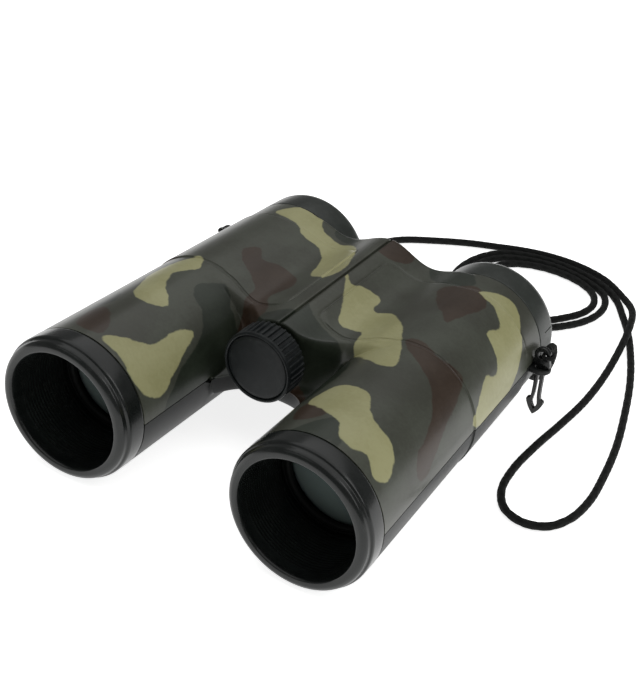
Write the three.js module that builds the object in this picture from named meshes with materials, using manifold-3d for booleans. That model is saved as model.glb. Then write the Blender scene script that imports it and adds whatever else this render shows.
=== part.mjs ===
// Toy field binoculars: two toed-in barrels in one pair of moulded shells, a geared-down
// centre focus that slides both objective lenses, and a neck cord on two push-in clips.
// Millimetres. Design frame: X across, Y along the barrels with the objectives at -Y, Z up,
// Y = 0 at the objective lips and Z = 0 on the barrels' axes. The user's left side is +X.
import * as THREE from 'three';
import { mergeVertices } from 'three/addons/utils/BufferGeometryUtils.js';
import Module from 'manifold-3d';

const wasm = await Module();
wasm.setup();

// Driving dimensions
const axisOffset = 39.8; // from the middle to a barrel's axis at the lips
const toeIn = 4.9; // how far an axis has moved inwards at the rear rim
const frontFace = -1.4;
const ringEnd = 7.6; // the objective ring meets the shells here
const capStart = 115; // and the rear cap here
const rearRim = 126.7;
const rearFace = 127.4;
const ringRadius = 22.8;
const frontRadius = 22.7; // of the shells, at the objective ring
const rearRadius = 20.5; // of the rear cap, at its rim
const wall = 2;
const gap = 0.3; // between pieces that touch
const bandStart = 65; // the shells' raised middle band
const bandEnd = 104;
const bandHeight = 0.35;
const partingHeight = 0.87;
const bridgeHeight = 21.9; // of the bridge's crest above the barrels' axes
const bridgeReach = 30; // half the width over which the bridge blends into the barrels
const webBottom = -5.5;
const wheelRadius = 11.4;
const wheelHeight = 11.73;
const wheelFront = 37.95;
const wheelBack = 46.9;
const ribCount = 36;
const spindleRadius = 2.4;
const openingRadius = 18.43; // of an objective ring's bore
const cellX = 38.75; // a sliding lens cell's axis
const cellRadius = 17.6;
const screwPlaces = [[-9, 75], [9, 75], [-9, 106], [9, 106]];
const lugX = 59.3;
const lugY = 109.4;
const clipThickness = 1.7;
const eyeHeight = 4.7;
const knotRadius = 1.85;
const cordDiameter = 2.6;
const round = 36; // segments of a barrel

const barrelAxis = (y) => axisOffset - toeIn * y / rearRim;
const barrelRadius = (y) =>
  frontRadius + (rearRadius - frontRadius) * (y - ringEnd) / (rearRim - ringEnd);

// Materials
const plastic = (color, roughness, metalness = 0) =>
  new THREE.MeshStandardMaterial({ color, roughness, metalness });
const camouflage = plastic(0x4b4c40, 0.38);
const blackShell = plastic(0x1a1c1c, 0.4);
const blackSatin = plastic(0x121314, 0.35);
const blackMatt = plastic(0x0c0c0d, 0.7);
const glass = plastic(0x9fb0b8, 0.05);
const steel = plastic(0xb4b6b8, 0.3, 1);
const cordBlack = plastic(0x0d0d0e, 0.9);

// Everything hangs in one group that puts the design frame on the ground at its middle.
const group = new THREE.Group();
const binoculars = new THREE.Group();
binoculars.position.set(0, -(frontFace + rearFace) / 2, ringRadius);
group.add(binoculars);

// Solids
// The geometry with shared vertices merged, and without the flat triangles at its poles.
function bare(geometry) {
  const copy = geometry.clone();
  copy.deleteAttribute('normal');
  copy.deleteAttribute('uv');
  const merged = mergeVertices(copy, 1e-4);
  const kept = [];
  for (let i = 0; i < merged.index.count; i += 3) {
    const [a, b, c] = [0, 1, 2].map((k) => merged.index.getX(i + k));
    if (a !== b && b !== c && c !== a) {
      kept.push(a, b, c);
    }
  }
  merged.setIndex(kept);
  return merged;
}

function signedVolume(geometry) {
  const position = geometry.getAttribute('position');
  const corners = [new THREE.Vector3(), new THREE.Vector3(), new THREE.Vector3()];
  let sum = 0;
  for (let i = 0; i < geometry.index.count; i += 3) {
    corners.forEach((corner, k) => corner.fromBufferAttribute(position, geometry.index.getX(i + k)));
    sum += corners[0].dot(corners[1].cross(corners[2]));
  }
  return sum;
}

function toSolid(geometry) {
  const merged = bare(geometry);
  const triangles = Uint32Array.from(merged.index.array);
  if (signedVolume(merged) < 0) {
    for (let i = 0; i < triangles.length; i += 3) {
      [triangles[i], triangles[i + 1]] = [triangles[i + 1], triangles[i]];
    }
  }
  const vertices = Float32Array.from(merged.getAttribute('position').array);
  return new wasm.Manifold(new wasm.Mesh({ numProp: 3, vertProperties: vertices, triVerts: triangles }));
}

function toGeometry(solid) {
  const data = solid.getMesh();
  const geometry = new THREE.BufferGeometry();
  geometry.setAttribute('position', new THREE.BufferAttribute(Float32Array.from(data.vertProperties), 3));
  geometry.setIndex(new THREE.BufferAttribute(Uint32Array.from(data.triVerts), 1));
  geometry.computeVertexNormals();
  return geometry;
}

function put(name, solid, material) {
  const mesh = new THREE.Mesh(toGeometry(solid), material);
  mesh.name = name;
  binoculars.add(mesh);
  return mesh;
}

// A ring or disc about the Y axis from an outline of [radius, y], closed or ending on the axis.
function turned(outline, segments = round) {
  const onAxis = outline[0][0] === 0 && outline[outline.length - 1][0] === 0;
  const closed = onAxis ? outline : [...outline, outline[0]];
  const points = closed.map(([r, y]) => new THREE.Vector2(r, y));
  return new THREE.LatheGeometry(points, segments);
}

const rod = (radius, from, to, segments = 24) =>
  turned([[0, from], [radius, from], [radius, to], [0, to]], segments);

const pipe = (inner, outer, from, to, segments = round) =>
  turned([[inner, from], [outer, from], [outer, to], [inner, to]], segments);

const moved = (geometry, x, y, z) => geometry.translate(x, y, z);

// Leans a barrel-shaped geometry inwards, so that it follows its barrel's axis.
function onBarrel(geometry, side) {
  const lean = new THREE.Matrix4().set(
    1, -side * toeIn / rearRim, 0, side * axisOffset,
    0, 1, 0, 0,
    0, 0, 1, 0,
    0, 0, 0, 1,
  );
  return geometry.applyMatrix4(lean);
}

function block(x0, x1, y0, y1, z0, z1) {
  const box = new THREE.BoxGeometry(x1 - x0, y1 - y0, z1 - z0);
  return box.translate((x0 + x1) / 2, (y0 + y1) / 2, (z0 + z1) / 2);
}

// The triangles that fill a section, in the section's own turning direction.
function fill(section) {
  const flat = section.map((p) => new THREE.Vector2(p.y, p.z));
  const turn = Math.sign(THREE.ShapeUtils.area(flat));
  return THREE.ShapeUtils.triangulateShape(flat, []).map(([i, j, k]) => {
    const same = Math.sign(THREE.ShapeUtils.area([flat[i], flat[j], flat[k]])) === turn;
    return same ? [i, j, k] : [i, k, j];
  });
}

// A solid skinned over closed sections with the same number of points, with flat ends.
function lofted(sections) {
  const count = sections[0].length;
  const last = (sections.length - 1) * count;
  const index = [];
  for (let s = 0; s + 1 < sections.length; s += 1) {
    for (let i = 0; i < count; i += 1) {
      const a = s * count + i;
      const b = s * count + (i + 1) % count;
      index.push(a, b, b + count, a, b + count, a + count);
    }
  }
  for (const [i, j, k] of fill(sections[0])) {
    index.push(i, k, j);
  }
  for (const [i, j, k] of fill(sections[sections.length - 1])) {
    index.push(last + i, last + j, last + k);
  }
  const geometry = new THREE.BufferGeometry();
  const positions = sections.flat().flatMap((p) => p.toArray());
  geometry.setAttribute('position', new THREE.Float32BufferAttribute(positions, 3));
  geometry.setIndex(index);
  return geometry;
}

const joined = (parts) => parts.map(toSolid).reduce((a, b) => a.add(b));

// The bridge between the barrels. Its crest runs along the middle, with a dip on each side.
const smooth = (t) => {
  const u = Math.min(Math.max(t, 0), 1);
  return u * u * (3 - 2 * u);
};
const crest = (x) => {
  const t = Math.abs(x) / bridgeReach;
  return bridgeHeight - 1.9 * t * t - 4.4 * Math.sin(Math.PI * t) ** 2;
};
const ridgeY = (x) => 49.3 + 8.5 * smooth((Math.abs(x) - 5) / 13);
const webY = (x) => 47.6 - 9 * Math.min(Math.abs(x) / 15.4, 1) ** 4;
const bridgeStations = [-30, -26, -22, -18, -15, -12, -9, -6, -3, 0, 3, 6, 9, 12, 15, 18, 22, 26, 30];
const slopeSteps = 6;

// One (y, z) section: up the concave front from the web to the ridge, then back and down.
function bridgeSection(x, inset, bottom) {
  const top = crest(x) - inset;
  const points = [new THREE.Vector3(x, webY(x) + inset, bottom)];
  for (let i = 0; i <= slopeSteps; i += 1) {
    const angle = i / slopeSteps * Math.PI / 2;
    const y = webY(x) + (ridgeY(x) - webY(x)) * Math.sin(angle) + inset;
    points.push(new THREE.Vector3(x, y, top * (1 - Math.cos(angle))));
  }
  points.push(new THREE.Vector3(x, capStart - gap / 2 - inset, top));
  points.push(new THREE.Vector3(x, capStart - gap / 2 - inset, bottom));
  return points;
}

const bridgeBody = (inset, bottom) =>
  lofted(bridgeStations.map((x) => bridgeSection(x, inset, bottom)));

// The web under the bridge: a shallow tray with a rounded front edge.
function webSection(x, inset, top) {
  const front = webY(x) + inset;
  const back = capStart - gap / 2 - inset;
  const bottom = webBottom + inset;
  return [
    new THREE.Vector3(x, front, top),
    new THREE.Vector3(x, front, -2 + inset / 2),
    new THREE.Vector3(x, front + 1, bottom + 1),
    new THREE.Vector3(x, front + 3, bottom),
    new THREE.Vector3(x, back, bottom),
    new THREE.Vector3(x, back, top),
  ];
}
const webBody = (inset, top) => lofted(bridgeStations.map((x) => webSection(x, inset, top)));

function barrelOutline(inset) {
  const start = inset ? 0 : ringEnd + gap / 2;
  const end = inset ? rearFace : capStart - gap / 2;
  const raise = inset ? 0 : bandHeight;
  const at = (y, extra = 0) => [barrelRadius(y) - inset + extra, y];
  const step = 0.3;
  return [
    [0, start],
    at(start),
    at(bandStart - step),
    at(bandStart, raise),
    at(bandEnd, raise),
    at(bandEnd + step),
    at(end),
    [0, end],
  ];
}

const barrelPair = (inset) => [-1, 1].map((side) => onBarrel(turned(barrelOutline(inset)), side));

const above = () => toSolid(block(-80, 80, -10, 140, partingHeight + gap / 2, 60));
const below = () => toSolid(block(-80, 80, -10, 140, -60, partingHeight - gap / 2));
const wheelPocket = () => toSolid(moved(rod(wheelRadius + 0.6, 20, wheelBack + gap, round), 0, 0, wheelHeight));

// Top shell
const screwRadius = 1.1;
const bossRadius = 2.8;
const bosses = screwPlaces.map(([x, y]) => {
  const top = crest(Math.abs(x) + bossRadius) - 0.6;
  const boss = new THREE.CylinderGeometry(bossRadius, bossRadius, top, 16);
  return boss.rotateX(Math.PI / 2).translate(x, y, top / 2);
});
const pilotHoles = () => joined(screwPlaces.map(([x, y]) => {
  const hole = new THREE.CylinderGeometry(screwRadius + gap, screwRadius + gap, 34, 12);
  return hole.rotateX(Math.PI / 2).translate(x, y, -5);
}));
const centreGroove = toSolid(block(-0.25, 0.25, 40, 130, bridgeHeight - 0.6, 40));
const spindleHole = toSolid(moved(rod(spindleRadius + gap, 40, 60), 0, 0, wheelHeight));

const topOutside = joined([...barrelPair(0), bridgeBody(0, -1)]);
const topInside = joined([...barrelPair(wall), bridgeBody(wall, -3)]);
const topShell = topOutside
  .subtract(topInside)
  .add(joined(bosses))
  .intersect(above())
  .subtract(pilotHoles())
  .subtract(centreGroove)
  .subtract(spindleHole)
  .subtract(wheelPocket());
put('top_shell', topShell, camouflage);

// Bottom shell, with the web, the cord lugs and the screw wells
const lugRadius = 3.2;
const lugTop = 0.5;
const lugThickness = 1.6;
function lug(side) {
  const shape = new THREE.Shape();
  shape.moveTo(52, lugY - lugRadius);
  shape.lineTo(lugX, lugY - lugRadius);
  shape.absarc(lugX, lugY, lugRadius, -Math.PI / 2, Math.PI / 2, false);
  shape.lineTo(52, lugY + lugRadius);
  shape.closePath();
  const eye = new THREE.Path();
  eye.absarc(lugX, lugY, 1.95, 0, Math.PI * 2, true);
  shape.holes.push(eye);
  const tab = new THREE.ExtrudeGeometry(shape, { depth: lugThickness, bevelEnabled: false, curveSegments: 10 });
  tab.translate(0, 0, lugTop - lugThickness);
  return side > 0 ? tab : tab.rotateZ(Math.PI).translate(0, 2 * lugY, 0);
}
const headRadius = 2.6;
const wells = () => joined(screwPlaces.map(([x, y]) => {
  const well = new THREE.CylinderGeometry(headRadius + gap, headRadius + gap, 4, 20);
  return well.rotateX(Math.PI / 2).translate(x, y, webBottom - 2 + 1.9);
}));
const wellCups = screwPlaces.map(([x, y]) => {
  const cup = new THREE.CylinderGeometry(headRadius + 1.4, headRadius + 1.4, 5, 20);
  return cup.rotateX(Math.PI / 2).translate(x, y, webBottom + 2.5);
});
const bottomOutside = joined([...barrelPair(0), webBody(0, 5)]);
const bottomInside = joined([...barrelPair(wall), webBody(wall, 7)]);
const bottomShell = bottomOutside
  .subtract(bottomInside)
  .add(joined(wellCups))
  .intersect(below())
  .add(joined([lug(1), lug(-1)]).subtract(joined(barrelPair(wall / 2))))
  .subtract(wells())
  .subtract(pilotHoles())
  .subtract(wheelPocket());
put('bottom_shell', bottomShell, blackShell);

screwPlaces.forEach(([x, y], i) => {
  const head = webBottom + 1.9 - gap;
  const screw = turned([
    [0, head - 1.4], [1.8, head - 1.4], [headRadius, head - 0.6], [headRadius, head],
    [screwRadius, head], [screwRadius, head + 13], [0, head + 14],
  ], 16);
  put(`body_screw_${i + 1}`, toSolid(screw.rotateX(Math.PI / 2).translate(x, y, 0)), steel);
});

// Objective rings: a rounded lip, a step, a plain side, and a long sleeve inside the barrel
const sleeveEnd = 34;
const ringOutline = [
  [openingRadius, frontFace + 0.3], [openingRadius + 0.4, frontFace], [20.6, frontFace],
  [21.4, frontFace + 0.4], [21.9, frontFace + 1.1], [22, frontFace + 1.9],
  [22, 1.1], [22.5, 1.4], [ringRadius, 2.1], [ringRadius, ringEnd - gap / 2],
  [19.6, ringEnd - gap / 2], [19.6, sleeveEnd], [openingRadius, sleeveEnd],
];

// Rear caps: a rounded rim around a shallow dish, with a spigot inside the barrel
const capOutline = [
  [9.3, 122.6], [12, 123.3], [14.6, 126.6], [15.4, rearFace], [17.4, rearFace],
  [19, rearFace - 0.5], [20, rearFace - 1.5], [20.45, rearFace - 3], [barrelRadius(capStart), capStart + gap / 2],
  [18.2, capStart + gap / 2], [18.2, 109], [16.6, 109], [16.6, 120.5], [9.3, 120.5],
];

// Eyepieces: a cell with a flange, a concave lens and the ring that holds it
const eyeCell = [
  [7, 106.8], [10.6, 106.8], [10.6, 108.4], [9, 108.4], [9, 123.2], [8, 123.2], [8, 119.6], [7, 119.6],
];
const eyeLens = [
  [0, 120.6], [3, 120.5], [5.4, 120.2], [7.7, 119.9], [7.7, 121.7], [5.4, 121.3], [3, 121.1], [0, 121],
];
const eyeRetainer = [[6.6, 122], [7.7, 122], [7.7, 123], [6.9, 123]];

// Objective lens, and the ring that holds it in its sliding cell
const lensOutline = [
  [0, 22.3], [6, 22.5], [12, 23.2], [16.3, 24], [16.3, 25.7], [12, 26.6], [6, 27.2], [0, 27.4],
];
const retainerOutline = [[15.1, 21.5], [15.6, 20.9], [16.6, 20.9], [16.6, 22.4], [15.1, 22.4]];

for (const [name, side] of [['left', 1], ['right', -1]]) {
  const barrelSolid = (outline, segments) => toSolid(onBarrel(turned(outline, segments), side));
  const cellSolid = (outline, segments) => toSolid(moved(turned(outline, segments), side * cellX, 0, 0));
  put(`${name}_objective_ring`, barrelSolid(ringOutline), blackSatin);
  put(`${name}_objective_lens`, cellSolid(lensOutline, 32), glass);
  put(`${name}_objective_retainer`, cellSolid(retainerOutline, 32), blackMatt);
  put(`${name}_rear_cap`, barrelSolid(capOutline), blackSatin);
  put(`${name}_eyepiece_cell`, barrelSolid(eyeCell, 32), blackMatt);
  put(`${name}_eyepiece_lens`, barrelSolid(eyeLens, 24), glass);
  put(`${name}_eyepiece_retainer`, barrelSolid(eyeRetainer, 24), blackMatt);
}

// Lens carriage: two cells on legs, tied by a cross arm with the focus nut
const armFront = 58;
const armBack = 63;
const legInside = 22.6;
const carriageParts = [
  block(-legInside - 3, legInside + 3, armFront, armBack, -2, 4.5),
  block(-3.2, 3.2, armFront, armBack, 2, wheelHeight),
  moved(rod(4.6, 56, 65), 0, 0, wheelHeight),
];
for (const side of [-1, 1]) {
  const cell = turned([
    [16.9, 21], [cellRadius, 21], [cellRadius, 36], [14.3, 36], [14.3, 27.9], [15.4, 26.2], [16.9, 26.2],
  ]);
  const inner = side * legInside;
  const outer = side * (legInside + 3);
  carriageParts.push(moved(cell, side * cellX, 0, 0));
  carriageParts.push(block(Math.min(inner, outer), Math.max(inner, outer), 30, armBack, -2, 4.5));
}
const carriage = joined(carriageParts)
  .subtract(toSolid(moved(rod(spindleRadius + gap, 50, 70), 0, 0, wheelHeight)))
  .subtract(joined([-1, 1].map((side) => moved(rod(14.3, 27, 40, round), side * cellX, 0, 0))));
put('lens_carriage', carriage, blackMatt);

// Focus wheel: a ribbed rim with a plain bead in front, a hub, a screw and a cap disc
const beadWidth = 1.1;
function ribbedRim() {
  const shape = new THREE.Shape();
  const rib = 2 * Math.PI / ribCount;
  for (let i = 0; i < ribCount; i += 1) {
    const profile = [[0.1, wheelRadius], [0.48, wheelRadius], [0.6, wheelRadius - 0.6], [0.98, wheelRadius - 0.6]];
    for (const [share, radius] of profile) {
      const angle = (i + share) * rib;
      const point = [radius * Math.cos(angle), radius * Math.sin(angle)];
      if (i || share > 0.1) {
        shape.lineTo(...point);
      } else {
        shape.moveTo(...point);
      }
    }
  }
  shape.closePath();
  const depth = wheelBack - wheelFront - beadWidth;
  const rim = new THREE.ExtrudeGeometry(shape, { depth, bevelEnabled: false });
  return rim.rotateX(Math.PI / 2).translate(0, wheelBack, 0);
}
const faceRadius = 9.7;
const hubFace = 41.3;
const rimBead = turned([
  [0, wheelFront], [wheelRadius - 0.7, wheelFront], [wheelRadius, wheelFront + 0.6],
  [wheelRadius, wheelFront + beadWidth + 0.1], [0, wheelFront + beadWidth + 0.1],
]);
const wheelHollow = joined([
  rod(faceRadius + gap, wheelFront - 1, wheelFront + 1.5, round),
  rod(5, wheelFront, hubFace, 24),
  rod(1.3, hubFace - 1, 44, 16),
  rod(spindleRadius + gap, 43, 50, 24),
]);
const wheelPiece = (solid) => toSolid(moved(toGeometry(solid), 0, 0, wheelHeight));
put('focus_wheel', wheelPiece(joined([ribbedRim(), rimBead]).subtract(wheelHollow)), blackSatin);
const capDisc = turned([
  [0, wheelFront + 0.05], [faceRadius - 1, wheelFront + 0.15], [faceRadius, wheelFront + 0.5],
  [faceRadius, wheelFront + 1.2], [0, wheelFront + 1.2],
]);
put('wheel_cap', wheelPiece(toSolid(capDisc)), blackSatin);
const wheelScrew = turned([
  [0, hubFace - 1.8], [2, hubFace - 1.8], [3, hubFace - 1.1], [3, hubFace - gap],
  [0.9, hubFace - gap], [0.9, 50], [0, 51],
], 16);
put('wheel_screw', wheelPiece(toSolid(wheelScrew)), steel);
const spindle = turned([
  [1.3, 43.3], [spindleRadius, 43.3], [spindleRadius, 69.4], [spindleRadius - 0.6, 70], [0, 70], [0, 52], [1.3, 52],
], 24);
put('focus_spindle', wheelPiece(toSolid(spindle)), steel);
const collar = pipe(spindleRadius + gap, 4.4, 51.4, 52.6, 24);
put('spindle_collar', wheelPiece(toSolid(collar)), blackMatt);

// Cord clips: an eye on a shoulder above the lug, and two barbed prongs through it
function clip(side) {
  const shape = new THREE.Shape();
  const half = [
    [0, -17.2], [1.9, -14.9], [2.9, -12.3], [2.7, -11.7], [1.75, -11.3], [1.5, -7], [1.5, 0.8], [2.9, 0.8], [2.9, 2.1],
  ];
  shape.moveTo(...half[0]);
  half.slice(1).forEach((point) => shape.lineTo(...point));
  shape.absarc(0, eyeHeight, 2.7, -0.25, Math.PI + 0.25, false);
  half.slice(1).reverse().forEach(([x, y]) => shape.lineTo(-x, y));
  shape.closePath();
  const eye = new THREE.Path();
  eye.absarc(0, eyeHeight, 1.3, 0, Math.PI * 2, true);
  const slit = new THREE.Path();
  [[0, -15], [0.9, -12.9], [0.4, -9.4], [0.4, -1], [-0.4, -1], [-0.4, -9.4], [-0.9, -12.9]]
    .forEach(([x, y], i) => (i ? slit.lineTo(x, y) : slit.moveTo(x, y)));
  slit.closePath();
  shape.holes.push(eye, slit);
  const plate = new THREE.ExtrudeGeometry(shape, { depth: clipThickness, bevelEnabled: false, curveSegments: 12 });
  plate.rotateX(Math.PI / 2);
  return plate.translate(side * lugX, lugY + clipThickness / 2, 0);
}

// Neck cord: from the right clip down behind the barrel, out into the long loop beside the
// left barrel, twice around the small loop behind it, and up to the left clip.
const floor = -ringRadius;
const onFloor = floor + cordDiameter / 2;
const knotY = lugY + clipThickness / 2 + gap + knotRadius;
const cordStart = knotY + knotRadius + gap;
const cordRoute = [
  [-59.3, cordStart, 4.7], [-58.6, 120, 4.8], [-57.3, 126, 4], [-55.2, 132.5, -0.5], [-52.6, 140, -9],
  [-49.6, 148, -17], [-46.4, 157, -20.9], [-43, 167], [-38.6, 177.5], [-33, 186.8], [-22, 195.3],
  [-11.2, 202], [-2, 206.3], [6.3, 210], [16, 212.8], [28.2, 213.4], [40.6, 210.2], [50.8, 203],
  [58.6, 192.4, -19.3], [62.6, 180.4, -18.6], [65.2, 165.3, -20.2], [67, 148.4], [67.8, 131.2], [67, 114.9],
  [65.8, 99.6], [65.6, 84], [67.6, 72.4], [72.6, 65], [79.6, 62.8], [86, 65.6], [89.8, 72.6], [91, 84],
  [89.3, 99.5], [86.3, 115.5], [81.7, 132.4], [75.6, 151.5], [69, 167.6], [62.6, 180.4], [56, 190.8],
  [50.2, 199], [43.4, 204.6], [35, 208], [26, 209.6], [16.5, 209.3], [8, 206.9], [1.5, 202.8],
  [-2.8, 196.4], [-5, 188.6], [-5.2, 180], [-3, 171.4], [2, 163.6], [9.4, 158.4], [18.6, 156.6],
  [28, 158.4], [36, 163.6], [42, 170.2], [46.4, 177.4], [48.6, 185.4], [48, 193.4], [44.4, 200],
  [37.6, 203.9], [29.6, 206.2], [20.4, 206.8], [11.4, 204.6], [4, 200.4], [-0.4, 193.8], [-1.9, 185.8],
  [-0.9, 177.6], [3.4, 169.8], [10, 164.2], [18.4, 161.6], [27, 163], [34.4, 168.4], [40, 175.6],
  [43.8, 183], [44.6, 190.6], [41.6, 197.4], [35.4, 201.8], [27.4, 203.8], [19, 203.4], [11.4, 200.6],
  [5.8, 195.4], [3.6, 188.4], [5, 180.6], [9, 173.4], [14.4, 167, -20.3], [20, 161.4, -18.7],
  [26.4, 156, -18.7], [33.6, 151, -20.6], [40, 144.5], [45.5, 135, -20.4], [51, 127.5, -16.5],
  [55.6, 123, -10], [58.4, 119.6, -3], [59.2, 118, 2], [59.3, 116, 4.4], [59.3, cordStart, 4.7],
];
const cordSteps = 88;
const cordSides = 8;

function cordTube() {
  const points = cordRoute.map(([x, y, z = onFloor]) => new THREE.Vector3(x, y, z));
  const path = new THREE.CatmullRomCurve3(points, false, 'centripetal');
  const section = new THREE.Shape();
  for (let i = 0; i < cordSides; i += 1) {
    const angle = (i + 0.5) * 2 * Math.PI / cordSides;
    const point = [cordDiameter / 2 * Math.cos(angle), cordDiameter / 2 * Math.sin(angle)];
    if (i) {
      section.lineTo(...point);
    } else {
      section.moveTo(...point);
    }
  }
  section.closePath();
  return new THREE.ExtrudeGeometry(section, { steps: cordSteps, extrudePath: path, bevelEnabled: false });
}
put('neck_cord', toSolid(cordTube()), cordBlack);

for (const [name, side] of [['left', 1], ['right', -1]]) {
  const knot = new THREE.SphereGeometry(knotRadius, 14, 10);
  put(`${name}_cord_clip`, toSolid(clip(side)), blackSatin);
  put(`${name}_cord_knot`, toSolid(moved(knot, side * lugX, knotY, eyeHeight)), cordBlack);
}

export default group;
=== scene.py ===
# Toy binoculars with a printed camouflage shell, a ribbed focus wheel and a braided neck cord.
import math
import bmesh
import bpy
import numpy as np
from mathutils import Matrix, Vector


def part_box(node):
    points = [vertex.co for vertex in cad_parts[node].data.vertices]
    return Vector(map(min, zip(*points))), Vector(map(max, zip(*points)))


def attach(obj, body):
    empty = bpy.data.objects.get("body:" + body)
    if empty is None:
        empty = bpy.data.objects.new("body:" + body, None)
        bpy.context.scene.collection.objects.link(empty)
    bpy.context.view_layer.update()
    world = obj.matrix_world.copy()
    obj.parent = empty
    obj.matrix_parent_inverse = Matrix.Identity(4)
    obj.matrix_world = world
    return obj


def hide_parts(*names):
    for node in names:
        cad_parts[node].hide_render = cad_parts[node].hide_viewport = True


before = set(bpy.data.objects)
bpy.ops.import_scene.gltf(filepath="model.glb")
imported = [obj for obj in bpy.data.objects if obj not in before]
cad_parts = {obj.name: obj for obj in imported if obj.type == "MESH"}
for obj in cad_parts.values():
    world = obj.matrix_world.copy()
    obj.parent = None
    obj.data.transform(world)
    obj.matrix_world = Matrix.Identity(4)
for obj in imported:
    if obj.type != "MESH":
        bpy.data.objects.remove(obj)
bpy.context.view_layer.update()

# Lengths below are in millimetres: X across, Y along the barrels from the objective lips, Z up
# from the barrels' axes. toRow() turns them into the frame's metres.
shape = dict(
    lipFace=-1.4,        # front face of the objective rings
    ringRadius=22.8,
    ringEnd=7.6,
    capStart=115.0,
    rearRim=126.7,
    axisOffset=39.8,     # barrel axis to the middle, at the lips
    toeIn=4.9,           # how much closer the axes are at the rear rim
    frontRadius=22.7,
    rearRadius=20.5,
    bandStart=65.0,      # the raised middle band
    bandEnd=104.0,
    bandHeight=0.35,
    parting=0.87,        # height of the line between the two shells
    gap=0.3,
    bridgeHeight=21.9,
    bridgeReach=30.0,
    webBottom=-5.5,
    wall=1.7,
)
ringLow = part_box("left_objective_ring")[0]
toGround = Vector((0, ringLow.y * 1000 - shape["lipFace"], ringLow.z * 1000 + shape["ringRadius"]))


def toRow(points):
    return (np.asarray(points, float).reshape(-1, 3) + np.array(toGround)) * 0.001


# ---- camera ----
cameraView = dict(place=(206.28, -293.70, 271.40), azimuth=29.26, elevation=32.75, roll=5.52, lens=83.67)


def makeCamera(view):
    azimuth, elevation, roll = (math.radians(view[k]) for k in ("azimuth", "elevation", "roll"))
    right = Vector((math.cos(azimuth), math.sin(azimuth), 0))
    back = Vector((math.sin(azimuth) * math.cos(elevation), -math.cos(azimuth) * math.cos(elevation),
                   math.sin(elevation)))
    up = back.cross(right)
    axisX = right * math.cos(roll) + up * math.sin(roll)
    axisY = up * math.cos(roll) - right * math.sin(roll)
    data = bpy.data.cameras.new("camera")
    data.lens = view["lens"]
    data.sensor_width = 36
    data.clip_start, data.clip_end = 0.01, 20
    camera = bpy.data.objects.new("camera", data)
    facing = Matrix((axisX, axisY, back)).transposed().to_4x4()
    camera.matrix_world = Matrix.Translation(toRow(view["place"])[0]) @ facing
    bpy.context.scene.collection.objects.link(camera)
    bpy.context.scene.camera = camera


makeCamera(cameraView)
print("camera placed")


# ---- meshes ----
def addMesh(name, points, faces, tidy=True, smooth=True, attributes=None):
    mesh = bpy.data.meshes.new(name)
    mesh.from_pydata(toRow(points).tolist(), [], [tuple(f) for f in faces])
    for key, values in (attributes or {}).items():
        mesh.attributes.new(key, "FLOAT", "POINT").data.foreach_set("value", np.asarray(values, np.float32))
    if tidy:
        work = bmesh.new()
        work.from_mesh(mesh)
        bmesh.ops.remove_doubles(work, verts=work.verts, dist=2e-7)
        bmesh.ops.dissolve_degenerate(work, edges=work.edges, dist=1e-8)
        bmesh.ops.recalc_face_normals(work, faces=work.faces)
        work.to_mesh(mesh)
        work.free()
    mesh.polygons.foreach_set("use_smooth", [smooth] * len(mesh.polygons))
    obj = bpy.data.objects.new(name, mesh)
    bpy.context.scene.collection.objects.link(obj)
    return obj


def keepEdges(obj, degrees=32):
    # creases sharper than this angle stay crisp under smooth shading
    obj.data.set_sharp_from_angle(angle=math.radians(degrees))
    return obj


def baked(obj):
    # the object with its modifiers applied
    graph = bpy.context.evaluated_depsgraph_get()
    result = bpy.data.meshes.new_from_object(obj.evaluated_get(graph))
    old = obj.data
    obj.modifiers.clear()
    obj.data = result
    result.name = obj.name
    bpy.data.meshes.remove(old)
    return obj


def discard(obj):
    mesh = obj.data
    bpy.data.objects.remove(obj)
    if mesh.users == 0:
        bpy.data.meshes.remove(mesh)


def cut(obj, tool, operation="DIFFERENCE"):
    modifier = obj.modifiers.new("cut", "BOOLEAN")
    modifier.operation = operation
    modifier.solver = "MANIFOLD"
    modifier.object = tool
    baked(obj)
    discard(tool)
    return obj


def barrelAxis(y):
    return shape["axisOffset"] - shape["toeIn"] * y / shape["rearRim"]


def barrelRadius(y):
    share = (y - shape["ringEnd"]) / (shape["rearRim"] - shape["ringEnd"])
    return shape["frontRadius"] + (shape["rearRadius"] - shape["frontRadius"]) * share


def softened(outline, radius=0.25, steps=3):
    # rounds every corner of a closed (radius, y) outline; returns points and how near each is to a corner
    points, rims = [], []
    count = len(outline)
    for i in range(count):
        before, here, after = (np.array(outline[(i + k) % count], float) for k in (-1, 0, 1))
        inward, outward = before - here, after - here
        reach = min(radius, 0.45 * np.linalg.norm(inward), 0.45 * np.linalg.norm(outward))
        turn = abs(np.cross(inward, outward)) / (np.linalg.norm(inward) * np.linalg.norm(outward))
        if here[0] < 1e-6 or turn < 0.12:
            points.append(here)
            rims.append(0.0)
            continue
        start = here + inward / np.linalg.norm(inward) * reach
        end = here + outward / np.linalg.norm(outward) * reach
        for k in range(steps + 1):
            t = k / steps
            points.append((1 - t) ** 2 * start + 2 * t * (1 - t) * here + t * t * end)
            rims.append(1.0 - abs(2 * t - 1) * 0.6)
    return np.array(points), np.array(rims)


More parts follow.
